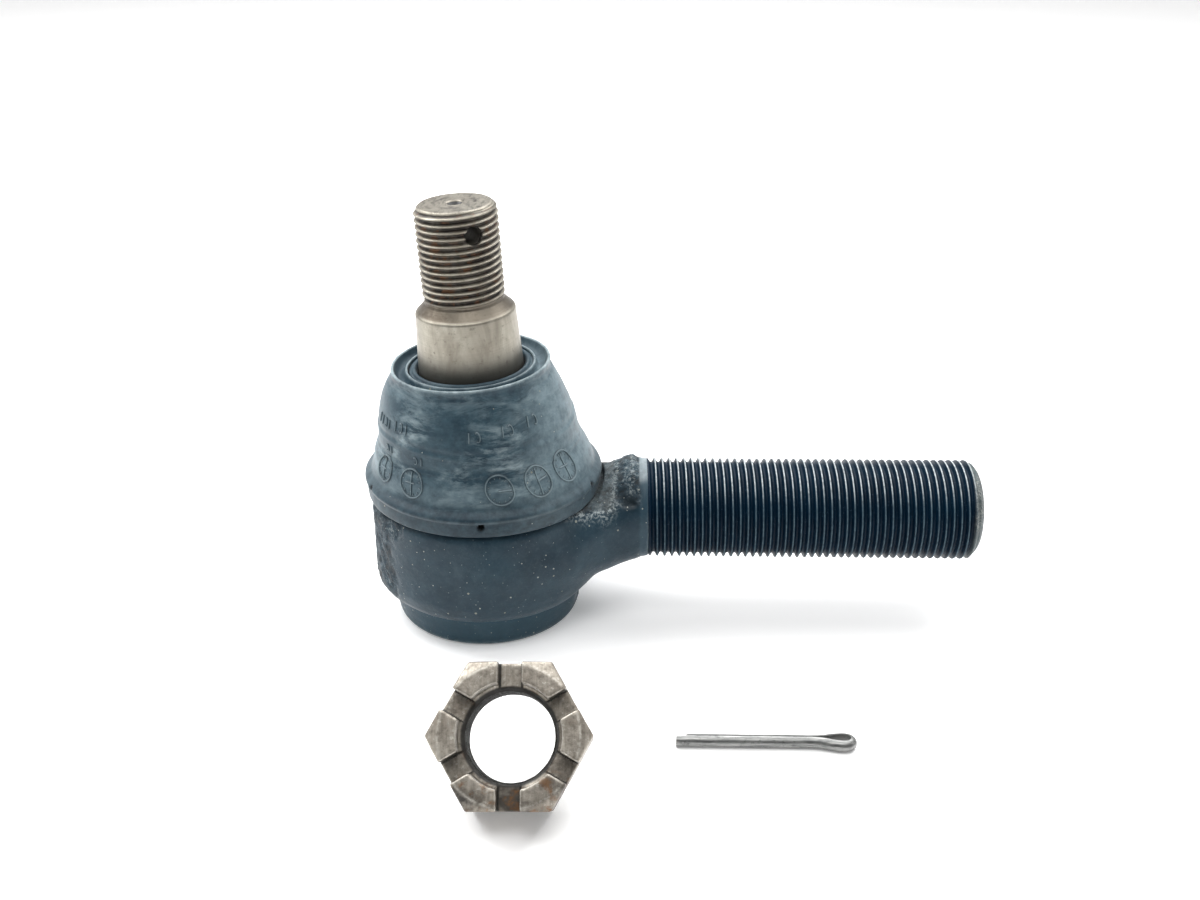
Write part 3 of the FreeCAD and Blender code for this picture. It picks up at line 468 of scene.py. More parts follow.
def nut_material():
    """Bare steel, brushed across the face, with brown oil and rust in the corners and slots; painted shade, near
    black, in the bore and on the slot sides.
    """
    m = Mat("nut_bare_steel")
    v = m.attribute("local", True)
    s = m.sep(v)
    recess = m.attribute("recess")
    edge = m.attribute("edge_wear")
    grime = m.attribute("grime")
    b1 = m.noise(v, 110.0, 5.0, 0.65, 0.6)
    b2 = m.noise(v, 700.0, 6.0, 0.72)
    st = m.noise(m.scaled(v, (1400.0, 90.0, 90.0)), 1.0, 4.0, 0.6)
    base = m.mix(m.ramp(b1, [(0.3, 0.0), (0.7, 1.0)]), srgb(128, 121, 111), srgb(182, 176, 165))
    base = m.mix(m.math("MULTIPLY", m.ramp(st, [(0.35, 0.0), (0.65, 1.0)]), 0.40), base, srgb(92, 85, 76))
    base = m.mix(m.ramp(b2, [(0.50, 0.0), (0.68, 0.6)]), base, srgb(72, 64, 55))
    base = m.mix(m.ramp(b2, [(0.30, 0.75), (0.42, 0.0)]), base, srgb(214, 210, 200))
    oil = m.math("MULTIPLY", m.ramp(m.noise(v, 120.0, 4.0, 0.6, 0.4), [(0.40, 0.0), (0.62, 1.0)]), m.math("MAXIMUM", grime, m.math("MULTIPLY", recess, 0.9)), clamp=True)
    base = m.mix(oil, base, srgb(36, 30, 22))
    rust = m.math("MULTIPLY", m.ramp(m.noise(v, 230.0, 5.0, 0.7, 1.0), [(0.53, 0.0), (0.66, 0.9)]), m.math("ADD", 0.10, m.math("MULTIPLY", m.math("MAXIMUM", recess, grime), 0.75)), clamp=True)
    base = m.mix(rust, base, srgb(112, 74, 34))
    # bore and slot sides mixed near black: painted shade in the recesses
    base = m.mix(m.math("MULTIPLY", recess, 0.96), base, srgb(9, 10, 8))
    ew = m.math("MULTIPLY", edge, m.ramp(b2, [(0.34, 0.9), (0.60, 0.1)]))
    base = m.mix(ew, base, srgb(214, 210, 200))
    h = m.math("ADD", m.math("MULTIPLY", b2, 0.9), m.math("MULTIPLY", st, 0.35))
    rough = m.math("ADD", 0.34, m.math("MULTIPLY", b2, 0.25))
    metal = m.math("SUBTRACT", 0.78, m.math("MULTIPLY", m.math("MAXIMUM", m.math("MAXIMUM", oil, rust), recess), 0.6), clamp=True)
    return m.set(color=base, rough=rough, metal=metal, normal=m.bump(h, 0.45, 0.00022))


def pin_material():
    m = Mat("pin_zinc")
    v = m.obj()
    n1 = m.noise(m.scaled(v, (140.0, 1500.0, 1500.0)), 1.0, 4.0, 0.65)
    n2 = m.noise(v, 800.0, 4.0, 0.7)
    base = m.mix(m.ramp(n1, [(0.3, 0.0), (0.7, 1.0)]), srgb(84, 86, 86), srgb(152, 152, 150))
    base = m.mix(m.ramp(n2, [(0.56, 0.0), (0.70, 0.6)]), base, srgb(58, 60, 60))
    h = m.math("ADD", m.math("MULTIPLY", n1, 0.8), m.math("MULTIPLY", n2, 0.4))
    return m.set(color=base, rough=m.math("ADD", 0.28, m.math("MULTIPLY", n2, 0.22)), metal=0.85, normal=m.bump(h, 0.35, 0.00012))


def plain_machine(name, a, b, metal, rough, bump=0.3, scale=500.0):
    m = Mat(name)
    v = m.obj()
    n1 = m.noise(v, scale * 0.25, 4.0, 0.6)
    n2 = m.noise(v, scale * 2.0, 4.0, 0.65)
    base = m.mix(n1, srgb(*a), srgb(*b))
    base = m.mix(m.ramp(n2, [(0.55, 0.0), (0.75, 0.35)]), base, srgb(*[int(c * 0.55) for c in a]))
    return m.set(color=base, rough=m.math("ADD", rough, m.math("MULTIPLY", n2, 0.2)), metal=metal,
                 normal=m.bump(m.math("ADD", n1, n2), bump, 0.0002))


MAT_HOUSING = housing_material()
MAT_THREAD = thread_material()
MAT_STUD = stud_material()
MAT_BOOT = boot_material()
MAT_WIPER = boot_material("wiper_rubber", 0.45)
MAT_NUT = nut_material()
MAT_PIN = pin_material()
MAT_CUP = plain_machine("bearing_acetal", (200, 194, 170), (222, 216, 196), 0.0, 0.42, 0.15)
MAT_SPRING = plain_machine("spring_steel_dark", (84, 88, 94), (128, 130, 134), 0.85, 0.34)
MAT_PLATE = plain_machine("plate_paint", (30, 46, 56), (54, 70, 80), 0.1, 0.38)
MAT_SEAL = plain_machine("seal_rubber_black", (18, 18, 19), (34, 34, 36), 0.0, 0.6, 0.2)
for node, mt in (("upper_bearing", MAT_CUP), ("lower_bearing", MAT_CUP), ("preload_spring", MAT_SPRING), ("closure_plate", MAT_PLATE),
                 ("closure_seal", MAT_SEAL), ("boot_base_ring", MAT_SPRING)):
    me = nodes[node].data
    me.materials.clear()
    me.materials.append(mt)


# ---------------------------------------------------------------- housing forging
def build_housing():
    h = 0.45
    lo = np.array([-34.5, -34.5, -1.5])
    hi = np.array([50.4, 34.5, 48.5])
    n = np.ceil((hi - lo) / h).astype(int) + 1
    X = (lo[0] + h * np.arange(n[0]))[:, None, None]
    Y = (lo[1] + h * np.arange(n[1]))[None, :, None]
    Z = (lo[2] + h * np.arange(n[2]))[None, None, :]
    R = np.sqrt(X * X + Y * Y)

    def revolved(pts, r, z):
        """Distance to a turned outline, read from a fine table."""
        s = 0.15
        rr = np.arange(-1.0, 75.0, s)
        zz = np.arange(-6.0, 62.0, s)
        t = poly_sdf(pts, *np.meshgrid(rr, zz, indexing="ij"))
        u = np.clip((r + 1.0) / s, 0, len(rr) - 1.001)
        w = np.clip((z + 6.0) / s, 0, len(zz) - 1.001)
        u, w = np.broadcast_arrays(u, w)
        i, j = u.astype(int), w.astype(int)
        f, g = u - i, w - j
        return (t[i, j] * (1 - f) * (1 - g) + t[i + 1, j] * f * (1 - g) + t[i, j + 1] * (1 - f) * g + t[i + 1, j + 1] * f * g)

    body = revolved([(-1, 9.4), (28.2, 9.4), (30.3, 10.4), (31.9, 12.6), (32.7, 15.6), (32.8, 24), (32.8, 34.6), (32.5, 36.8), (31.7, 38.2), (31.2, 38.4),
                     (-1, 38.4)], R, Z)
    # the trimmed side opposite the shank is a little flatter
    flat = -(X + 31.75 + 0.0 * Y)
    body = smax(body, flat, 3.0)
    collar = revolved([(-1, 0.0), (25.6, 0.0), (26.4, 0.7), (27.0, 5.0), (27.3, 11.5), (-1, 11.5)], R, Z)
    body = smin(body, collar, 1.0)
    # neck: elliptical sections read along X
    xs = np.array([-5.0, 8, 16, 22, 28, 32, 35.4, 38.8, 42.2, 45.6, 49.0, 52.0])
    zc = np.array([24.6, 24.6, 24.8, 25.2, 26.2, 27.1, 27.9, 29.2, 30.1, 30.5, 30.7, 30.7])
    ry = np.array([29.0, 29.4, 28.6, 26.6, 22.6, 19.6, 17.6, 16.2, 15.2, 14.3, 13.9, 13.9])
    rz = np.array([12.6, 12.6, 12.8, 13.3, 14.2, 14.6, 14.7, 14.6, 14.5, 14.0, 13.9, 13.9])
    Xf = X[:, 0, 0]
    zcx, ryx, rzx = (np.interp(Xf, xs, a)[:, None, None] for a in (zc, ry, rz))
    e = 2.05
    q = (np.abs(Y / ryx) ** e + np.abs((Z - zcx) / rzx) ** e) ** (1 / e)
    neck = (q - 1.0) * np.minimum(ryx, rzx) * 0.93
    neck = np.maximum(neck, -(X + 2.0))
    body = smin(body, neck, 3.2)
    # hump behind the pilot, on top only
    rs = np.sqrt(Y * Y + (Z - ZB) ** 2)
    up = np.clip((Z - ZB) / 14.0, -1, 1)
    hump = np.sqrt((X - 42.2) ** 2 + (Y * 0.8) ** 2 + (Z - (ZB + 6.0)) ** 2) - 8.2
    body = smin(body, hump, 2.2)
    # saddle between the boot's seat and the hump
    sad = 4.2 - np.sqrt((X - 35.2) ** 2 + (Z - 47.2 + 0.022 * Y * Y) ** 2)
    body = smax(body, sad, 2.2)
    # hollow under the hump's rough edge, one on each side
    for sy in (-1, 1):
        dent = 3.0 - np.sqrt(((X - 41.6) / 1.25) ** 2 + (Y - sy * 12.6) ** 2 + ((Z - 42.4) / 1.5) ** 2)
        body = smax(body, dent, 1.3)
    # pilot, turned
    pilot = np.maximum(rs - 14.05, np.maximum(40.0 - X, X - 47.3))
    body = smax(body, np.where(X > 44.4, rs - 14.1 - 0.16 * np.clip(48.0 - X, 0, 9) * (Z > ZB - 4) - 0.10 * np.clip(48.0 - X, 0, 9), -9.0), 0.25)
    body = np.minimum(body, pilot)
    body = np.maximum(body, X - 47.2)
    body = blur(body, 2)
    # forging skin: gentle waviness, more along the flash line
    P = np.stack(np.broadcast_arrays(X, Y, Z), -1).reshape(-1, 3)
    near = np.abs(body.reshape(-1)) < 2.0
    d = body.reshape(-1).copy()
    Pn = P[near]
    band = flash_band(Pn)
    w = (fbm(Pn, 11.0, 3, 1) - 0.5) * 0.45 + band * ((fbm(Pn, 2.3, 3, 5) - 0.5) * 1.5) + flash_ridge(Pn) * (0.30 + 0.5 * (fbm(Pn, 1.9, 2, 14) - 0.5))
    keep = smooth((44.9 - Pn[:, 0]) / 0.8) * smooth((Pn[:, 2] - 0.6) / 1.2)
    w = -w
    d[near] += w * keep
    # back onto the grid; the band's casting-like pits come from its rougher waviness above
    body = d.reshape(body.shape)
    # turned boot seat, crown and all the inside
    seat = revolved([(29.25, 38.3), (34.4, 38.3), (34.4, 60), (29.25, 60)], R, Z)
    body = np.maximum(body, -np.where(X < 36.0, seat, 9.0))
    crown = revolved([(-1, 38.2), (29.25, 38.2), (29.25, 46.0), (28.3, 47.0), (-1, 47.0)], R, Z)
    body = np.where(R < 31.0, np.maximum(body, Z - 47.0), body)
    body = np.minimum(body, crown)
    roof = [(22.4 * math.cos(a), ZB + 22.4 * math.sin(a)) for a in np.radians(np.linspace(4, 25.5, 6))]
    inner = [(-1, -4), (19.6, -4), (19.6, 2.5), (23.6, 2.5), (23.6, 6.4), (22.45, 6.4), (22.45, ZB)] + roof + \
            [(17.4, roof[-1][1]), (17.4, roof[-1][1] + 0.6), (20.6, 47.4), (21.0, 52.0), (-1, 52.0)]
    body = np.maximum(body, -revolved(inner, R, Z))
    pts, faces = surface_of(body, lo, h)
    return pts, faces


def band_edges(p):
    """Signed distance (mm, positive inside) to the edge of each rough zone: left face, top web, underside."""
    x, y, z = p[:, 0], p[:, 1], p[:, 2]
    wob = (fbm(p, 8.0, 3, 9) - 0.5)
    lim = np.interp(x, [-40, -20, 20, 27, 36, 50], [24.2, 24.2, 20.5, 18.2, 14.2, 12.6])
    ragged = (vnoise(p, 5.0, 71) - 0.5) * 5.0 + (vnoise(p, 2.2, 72) - 0.5) * 2.6 - 3.4 * smooth((20.0 - z) / 9.0)
    left = np.minimum(lim - np.abs(y) + ragged, np.minimum((-14.0 - x) * 2.0, (z - 9.4) * 2.0))
    top = np.minimum(lim - np.abs(y) + wob * 5.0, np.minimum((x - 22.0) * 1.0, np.minimum((z - 33.6) * 1.4, (45.0 - x) * 1.5)))
    low = np.minimum(7.0 - np.abs(y) + wob * 4.0, np.minimum((x - 24.0), np.minimum((26.0 - z), (45.0 - x))))
    return left, top, low


def flash_band(p):
    """1 along the trimmed flash line round the forging (near the plane y = 0), 0 on the die faces."""
    left, top, low = band_edges(p)
    return np.clip(np.maximum(np.maximum(0.8 * smooth(left / 2.2 + 0.3), smooth(top / 1.4 + 0.4)), 0.5 * smooth(low / 2.0)), 0, 1)


def flash_ridge(p):
    """A torn ridge of metal along the edges of the trimmed zone."""
    left, top, low = band_edges(p)
    x, y, z = p[:, 0], p[:, 1], p[:, 2]
    side = np.abs(y)
    fade = smooth((39.6 - x) / 2.5)
    cross = np.exp(-((x - 37.0 + 0.10 * (side - 9.0)) / 0.75) ** 2) * smooth((14.2 - side) / 1.0) * smooth((z - 35.0) / 2.0)
    crown = np.exp(-((x - 42.6 + 0.06 * side) / 0.9) ** 2) * smooth((9.5 - side) / 2.0) * smooth((z - 40.0) / 2.0)
    return 0.05 * np.exp(-(left / 1.1) ** 2) * (vnoise(p, 4.0, 73) > 0.5) + fade * np.exp(-(top / 0.9) ** 2) * (x > 20) * smooth((44.0 - x) / 2) + 0.75 * cross + 0.8 * crown


pts, faces = build_housing()
housing = make("housing_forging", pts, faces, MAT_HOUSING)
attr(housing, "flash_band", flash_band(pts))
attr(housing, "ridge", np.clip(flash_ridge(pts), 0, 1) * (pts[:, 0] < 45))
attr(housing, "pilot", smooth((pts[:, 0] - 44.3) / 0.4))
attr(housing, "pilot_top_highlight", smooth((pts[:, 0] - 44.0) / 0.5) * smooth((pts[:, 2] - ZB - 11.2) / 2.2))
ay = np.abs(pts[:, 1])
hol = np.exp(-((pts[:, 0] - 41.4) / 2.6) ** 2 - ((ay - 12.2) / 2.0) ** 2) * smooth((pts[:, 2] - 35.0) / 3.0)
attr(housing, "hollow", np.clip(hol * 1.3, 0, 1))
attr(housing, "web", smooth((38.5 - pts[:, 0]) / 2.0) * smooth((pts[:, 0] - 22.0) / 3.0) * smooth((15.5 - ay) / 1.5) * smooth((pts[:, 2] - 34.0) / 3.0))
attr(housing, "low", smooth((9.6 - pts[:, 2]) / 1.2))
rad = np.hypot(pts[:, 0], pts[:, 1])
ew = np.exp(-((pts[:, 2] - 9.3) / 0.55) ** 2) * smooth((rad - 26.5) / 1.2) * smooth((31.0 - rad) / 1.0) * (pts[:, 0] < 26)
ew = np.maximum(ew, 0.9 * np.exp(-((pts[:, 0] - 47.1) / 0.3) ** 2))
ew = np.maximum(ew, 0.8 * np.exp(-((pts[:, 2] - 0.6) / 0.6) ** 2) * (rad > 25.2))
attr(housing, "edge_wear", ew)
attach(housing, "socket")
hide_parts("socket_housing")


# ---------------------------------------------------------------- threads
def thread_profile(v, pitch, depth):
    """Radius below the crest for a 60 degree thread; v runs 0..1 over one pitch, crest at 0."""
    w = np.abs(((v + 0.5) % 1.0) - 0.5)          # 0 at the crest, 0.5 at the root
    c, r = 1 / 22.0, 1 / 9.0
    t = np.clip((w - c) / (0.5 - r - c), 0, 1)
    t = t - 0.05 * np.sin(2 * np.pi * t) / 1.0
    return depth * t


def thread_mesh(r, pitch, depth, a, b, seg, prof, start_fn):
    """Right-hand helix along +axis from a to b. start_fn(s) gives the largest radius allowed at s.
    Returns (angle, along, radius, crestness) arrays in rings of one helical column each."""
    turns = int(math.ceil((b - a) / pitch)) + 2
    rows = turns * prof + 1
    th = 2 * np.pi * np.arange(seg) / seg
    u = (np.arange(rows) / prof)[:, None] - 1.0
    s = a + pitch * (u + th[None, :] / (2 * np.pi))
    frac = (np.arange(rows) % prof / prof)[:, None] + 0 * s
    rad = r - thread_profile(frac, pitch, depth)
    sc = np.clip(s, a, b)
    rad = np.minimum(rad, start_fn(sc))
    return th, sc, rad, frac


def helical_surface(r, pitch, depth, a, b, seg, prof, cap):
    """Closed side surface whose columns follow the helix; each angle's column is joined to the next one turn-shifted."""
    th, s, rad, frac = thread_mesh(r, pitch, depth, a, b, seg, prof, cap)
    rows = s.shape[0]
    crest = np.clip(1 - (r - rad) / (0.6 * depth), 0, 1)
    p = np.stack([s, rad * np.cos(th)[None, :], rad * np.sin(th)[None, :]], -1).reshape(-1, 3)
    f = []
    for i in range(rows - 1):
        for j in range(seg):
            k = j + 1
            if k < seg:
                q = (i * seg + j, i * seg + k, (i + 1) * seg + k, (i + 1) * seg + j)
            else:                                   # one full turn on: same place, prof rows later
                i2, i3 = i + prof, i + 1 + prof
                if i3 > rows - 1:
                    continue
                q = (i * seg + j, i2 * seg, i3 * seg, (i + 1) * seg + j)
            f.append(q)
    for i in range(0):
        pass
    return p, f, crest.reshape(-1), s.reshape(-1)


def drop_degenerate(o, dist=1e-6):
    import bmesh
    bm = bmesh.new()
    bm.from_mesh(o.data)
    bmesh.ops.remove_doubles(bm, verts=bm.verts, dist=dist)
    bmesh.ops.dissolve_degenerate(bm, edges=bm.edges, dist=dist)
    bm.to_mesh(o.data)
    bm.free()


# shank thread, along +X, with its runout at the pilot and its chamfered, slightly domed end
S0, S1 = 46.2, 140.4


def shank_cap(s):
    out = np.full_like(s, 14.2875)
    out = np.minimum(out, 14.05 + np.clip((s - 47.2) / 1.6, 0, 1) * 0.2375)
    k = np.clip((s - 138.2) / 2.2, 0, 1)
    out = np.minimum(out, 14.2875 - 2.3 * k ** 1.25)
    return out


p, f, crest, s = helical_surface(14.2875, 2.1167, 1.24, S0, S1, 160, 12, shank_cap)
# domed end: rings closing on the axis
rings = [(140.4, 12.0), (140.75, 11.3), (140.92, 10.2), (140.97, 7.5), (141.0, 4.0), (141.0, 0.4)]
base_n = len(p)
seg = 160
extra, ef = [], []
for a_, r_ in rings:
    for j in range(seg):
        t_ = 2 * math.pi * j / seg
        extra.append((a_, r_ * math.cos(t_), r_ * math.sin(t_)))
for i in range(len(rings) - 1):
    for j in range(seg):
        k = (j + 1) % seg
        ef.append((base_n + i * seg + j, base_n + i * seg + k, base_n + (i + 1) * seg + k, base_n + (i + 1) * seg + j))
ef.append(tuple(base_n + (len(rings) - 1) * seg + j for j in range(seg)))
p = np.vstack([p, np.array(extra)])
f = f + ef
crest = np.r_[crest, np.zeros(len(extra))]
bare = np.r_[smooth((s - 137.4) / 1.0), np.ones(len(extra))]
p[:, 2] += ZB
shank = make("shank_thread", p, f, MAT_THREAD)
attr(shank, "crest", crest)
attr(shank, "bare_end", bare)
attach(shank, "socket")


# ---------------------------------------------------------------- ball stud
def build_stud():
    seg = 160
    a = np.radians(np.linspace(-76, 53.6, 40))
    prof = [(0.6, -18.43), (2.5, -18.43)] + [(19.0 * math.cos(t), 19.0 * math.sin(t)) for t in a]
    prof += [(11.25, 16.4), (11.25, 20.0), (11.25, 23.6), (11.6, 24.6), (12.6, 25.8), (14.2, 27.4), (14.85, 28.3), (15.0, 29.2), (15.0, 33.0)]
    prof += [(15.0 - (t - 33.4) / 16.0 * 0.835, t) for t in np.linspace(33.4, 59.9, 40)]
    prof += [(13.6, 60.15), (13.52, 60.45), (13.3, 60.72), (12.9, 61.05), (12.2, 61.75), (11.6, 62.4), (11.0, 63.05), (10.78, 63.3), (10.7, 63.5), (10.7, 63.9)]
    prof = np.array(prof)
    th = 2 * np.pi * np.arange(seg) / seg
    P = np.stack([prof[:, 0, None] * np.cos(th), prof[:, 0, None] * np.sin(th), prof[:, 1, None] + 0 * th], -1).reshape(-1, 3)
    F = grid_faces(len(prof), seg)
    F.append(tuple(reversed(range(seg))))
    F = [tuple(f_) for f_ in F]
    return P, F


def stud_cap(s):
    out = np.full_like(s, 11.1125)
    out = np.minimum(out, 10.7 + np.clip((s - 64.0) / 0.9, 0, 1) * 0.4125)
    k = np.clip((s - 88.15) / 1.5, 0, 1)
    return np.minimum(out, 11.1125 - 1.55 * k)


def build_stud_thread():
    """Thread, chamfer, centre drill and cross hole from a distance grid, heights from the ball's centre."""
    h = 0.17
    lo = np.array([-11.9, -11.9, 61.6])
    hi = np.array([11.9, 11.9, 90.6])
    n = np.ceil((hi - lo) / h).astype(int) + 1
    X = (lo[0] + h * np.arange(n[0]))[:, None, None]
    Y = (lo[1] + h * np.arange(n[1]))[None, :, None]
    Z = (lo[2] + h * np.arange(n[2]))[None, None, :]
    R = np.sqrt(X * X + Y * Y)
    A = np.arctan2(Y, X)
    frac = ((Z - 64.9) / 1.8143 - A / (2 * np.pi)) % 1.0
    w = np.abs((frac + 0.5) % 1.0 - 0.5)
    t = np.clip((w - 1 / 20.0) / (0.5 - 1 / 9.0 - 1 / 20.0), 0, 1)
    rr = 11.1125 - 1.08 * t
    rr = np.minimum(rr, 10.7 + np.clip((Z - 64.2) / 0.9, 0, 1) * 0.4125)
    rr = np.where(Z < 64.2, 10.66, rr)
    rr = np.minimum(rr, 11.1125 - 1.5 * np.clip((Z - 88.1) / 1.55, 0, 1))
    d = (R - rr) * 0.86
    d = np.maximum(d, 62.3 - Z)
    # slightly uneven top face
    P_ = np.stack(np.broadcast_arrays(X, Y, 0 * X * Y), -1).reshape(-1, 3)
    topo = (fbm(P_, 2.4, 3, 41).reshape(n[0], n[1])[:, :, None] - 0.5) * 0.22
    d = smax(d, Z - 89.62 + topo, 0.35)
    # centre drill with its countersink
    cd = np.maximum(R - 1.25, 86.4 - Z)
    cs = np.maximum((R - 1.25 - np.clip(Z - 88.6, 0, 9)) * 0.7, 88.0 - Z)
    d = np.maximum(d, -np.minimum(cd, cs))
    # cross hole, both mouths broken slightly
    turn = math.radians(31.0)
    side = X * math.cos(turn) + Y * math.sin(turn)
    ch = np.sqrt(side ** 2 + (Z - 83.0) ** 2) - 2.4
    d = smax(d, -(ch - 0.35 * np.clip(R - 10.6, 0, 1.0)), 0.25)
    p_, f_ = surface_of(d, lo, h)
    side = p_[:, 0] * math.cos(turn) + p_[:, 1] * math.sin(turn)
    q = np.sqrt(side ** 2 + (p_[:, 2] - 83.0) ** 2)
    R_ = np.hypot(p_[:, 0], p_[:, 1])
    # painted shade in the holes: full in the centre drill, partial in the cross hole
    drill_shade = smooth((2.75 - q) / 0.2) * smooth((10.9 - R_) / 0.6) * 0.55
    drill_shade = np.maximum(drill_shade, 1.25 * smooth((2.15 - R_) / 0.35))
    top_ = smooth((p_[:, 2] - 89.2) / 0.2) * (1 - np.clip(drill_shade, 0, 1))
    ang_ = np.arctan2(p_[:, 1], p_[:, 0])
    arc1 = np.exp(-((R_ - 5.4) / 0.55) ** 2) * smooth((np.sin(3 * ang_ + 0.6) - 0.1) / 0.25)
    arc2 = np.exp(-((R_ - 7.6) / 0.35) ** 2) * smooth((np.sin(5 * ang_ + 2.0) - 0.35) / 0.25)
    mark_ = top_ * np.clip(arc1 + 0.8 * arc2, 0, 1)
    root_ = smooth((11.0 - R_) / 0.75) * (p_[:, 2] > 64.4) * (p_[:, 2] < 88.9) * (R_ > 9.5)
    return p_, f_, root_, np.clip(drill_shade, 0, 1.2), top_, mark_


P, F = build_stud()
tp, tf, troot, tdrill_shade, ttop, tmark = build_stud_thread()
F = F + [(len(P) - 160 + j, len(P) - 160 + (j + 1) % 160, len(P) + (j + 1) % 160, len(P) + j) for j in range(160)]
inner = np.array([(10.2 * math.cos(2 * math.pi * j / 160), 10.2 * math.sin(2 * math.pi * j / 160), 63.95) for j in range(160)])
P = np.vstack([P, inner])
base_n = len(P)
local = np.vstack([P, tp])
stud = make("ball_stud_turned", local, F + [tuple(base_n + i for i in q) for q in tf], MAT_STUD)
attr(stud, "local", local * MM, "FLOAT_VECTOR")
attr(stud, "thread_root", np.r_[np.zeros(base_n), troot])
attr(stud, "drill_hole_shade", np.r_[np.zeros(base_n), tdrill_shade])
attr(stud, "top_face", np.r_[np.zeros(base_n), ttop])
attr(stud, "top_mark", np.r_[np.zeros(base_n), tmark])
stud.data.transform(Matrix.Translation((0, 0, ZB * MM)) @ Matrix.Rotation(-LEAN, 4, "Y"))
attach(stud, "stud")
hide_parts("ball_stud")


# ---------------------------------------------------------------- boot
def catmull(pts, per):
    pts = np.array(pts, float)
    out = []
    ext = np.vstack([2 * pts[0] - pts[1], pts, 2 * pts[-1] - pts[-2]])
    for i in range(1, len(ext) - 2):
        p0, p1, p2, p3 = ext[i - 1:i + 3]
        L = np.linalg.norm(p2 - p1)
        k = max(1, int(round(L / per)))
        for t in np.arange(k) / k:
            out.append(0.5 * ((2 * p1) + (-p0 + p2) * t + (2 * p0 - 5 * p1 + 4 * p2 - p3) * t * t + (-p0 + 3 * p1 - 3 * p2 + p3) * t ** 3))
    out.append(pts[-1])
    return np.array(out)


# outer skin from the bead's foot to the rim, (radius, height)
OUTER = [(29.5, 38.5), (31.2, 38.5), (32.2, 38.55), (32.75, 38.8), (33.0, 39.3), (33.08, 40.2), (33.08, 41.4), (33.02, 42.5), (33.1, 42.9), (33.42, 43.2), (33.55, 43.55), (33.5, 43.95),
         (33.2, 44.4), (32.75, 44.85), (32.15, 45.4), (31.55, 46.1), (31.1, 47.1), (30.8, 48.2), (30.35, 49.6), (29.75, 51.2), (29.0, 52.7), (28.35, 53.9), (27.95, 55.0), (27.75, 56.4), (27.6, 58.0),
         (27.3, 60.0), (26.85, 62.0), (26.25, 64.0), (25.6, 66.0), (24.85, 68.0), (24.0, 70.0), (23.1, 71.9), (22.35, 73.3), (21.95, 74.0), (21.85, 74.5), (21.88, 75.0), (21.95, 75.4), (21.95, 75.8)]
LIPS = [(21.85, 76.1), (21.6, 76.22), (21.3, 76.15), (21.08, 75.8), (20.85, 75.1), (20.45, 74.3), (19.9, 73.7), (19.3, 73.45), (18.75, 73.6), (18.35, 74.1), (18.1, 74.8), (17.95, 75.25), (17.7, 75.45), (17.4, 75.4),
        (17.25, 75.0), (17.2, 74.0), (17.2, 72.0)]
INNER = [(17.2, 72.0), (18.4, 71.3), (20.4, 70.0), (22.0, 68.0), (23.3, 65.0), (24.3, 62.0), (25.0, 59.0), (25.5, 56.0), (25.9, 53.5), (26.9, 51.5), (28.1, 49.2), (29.3, 47.6), (29.32, 45.4),
         (30.85, 45.4), (30.85, 39.9), (29.4, 39.9), (29.4, 38.5)]


def boot_weight(z):
    """How far a height follows the leaning head, the same curve as the moulded shape."""
    return smooth((z - 47.0) / 23.0)


def boot_radius_outer(z):
    prof = np.array(OUTER)
    return np.interp(z, prof[:, 1], prof[:, 0])


HOLES = [(-153.5, 43.7), (-86.0, 41.9), (-20.5, 43.7), (47.0, 42.4), (118.0, 42.4)]


def boot_place(th, r, z, sag=True):
    """Ring point (angle, radius, height) to the leaned, slightly slumped shape."""
    th, r, z = np.broadcast_arrays(th, r, z)
    th, r, z = th.ravel().astype(float), r.ravel().astype(float), z.ravel().astype(float)
    # not quite round: soft rubber, slumped toward -X
    slump = smooth((z - 47.5) / 6.0) * smooth((77.5 - z) / 8.0) * 0.65
    wob = smooth((z - 48.0) / 8.0) * smooth((75.5 - z) / 6.0)
    rr = r + wob * (0.22 * np.cos(2 * th + 0.6) + 0.16 * np.cos(3 * th - 1.0))
    x = rr * np.cos(th) - slump
    y = rr * np.sin(th)
    p = np.c_[x, y, z]
    q = lean_pts(p, boot_weight(z))
    return q


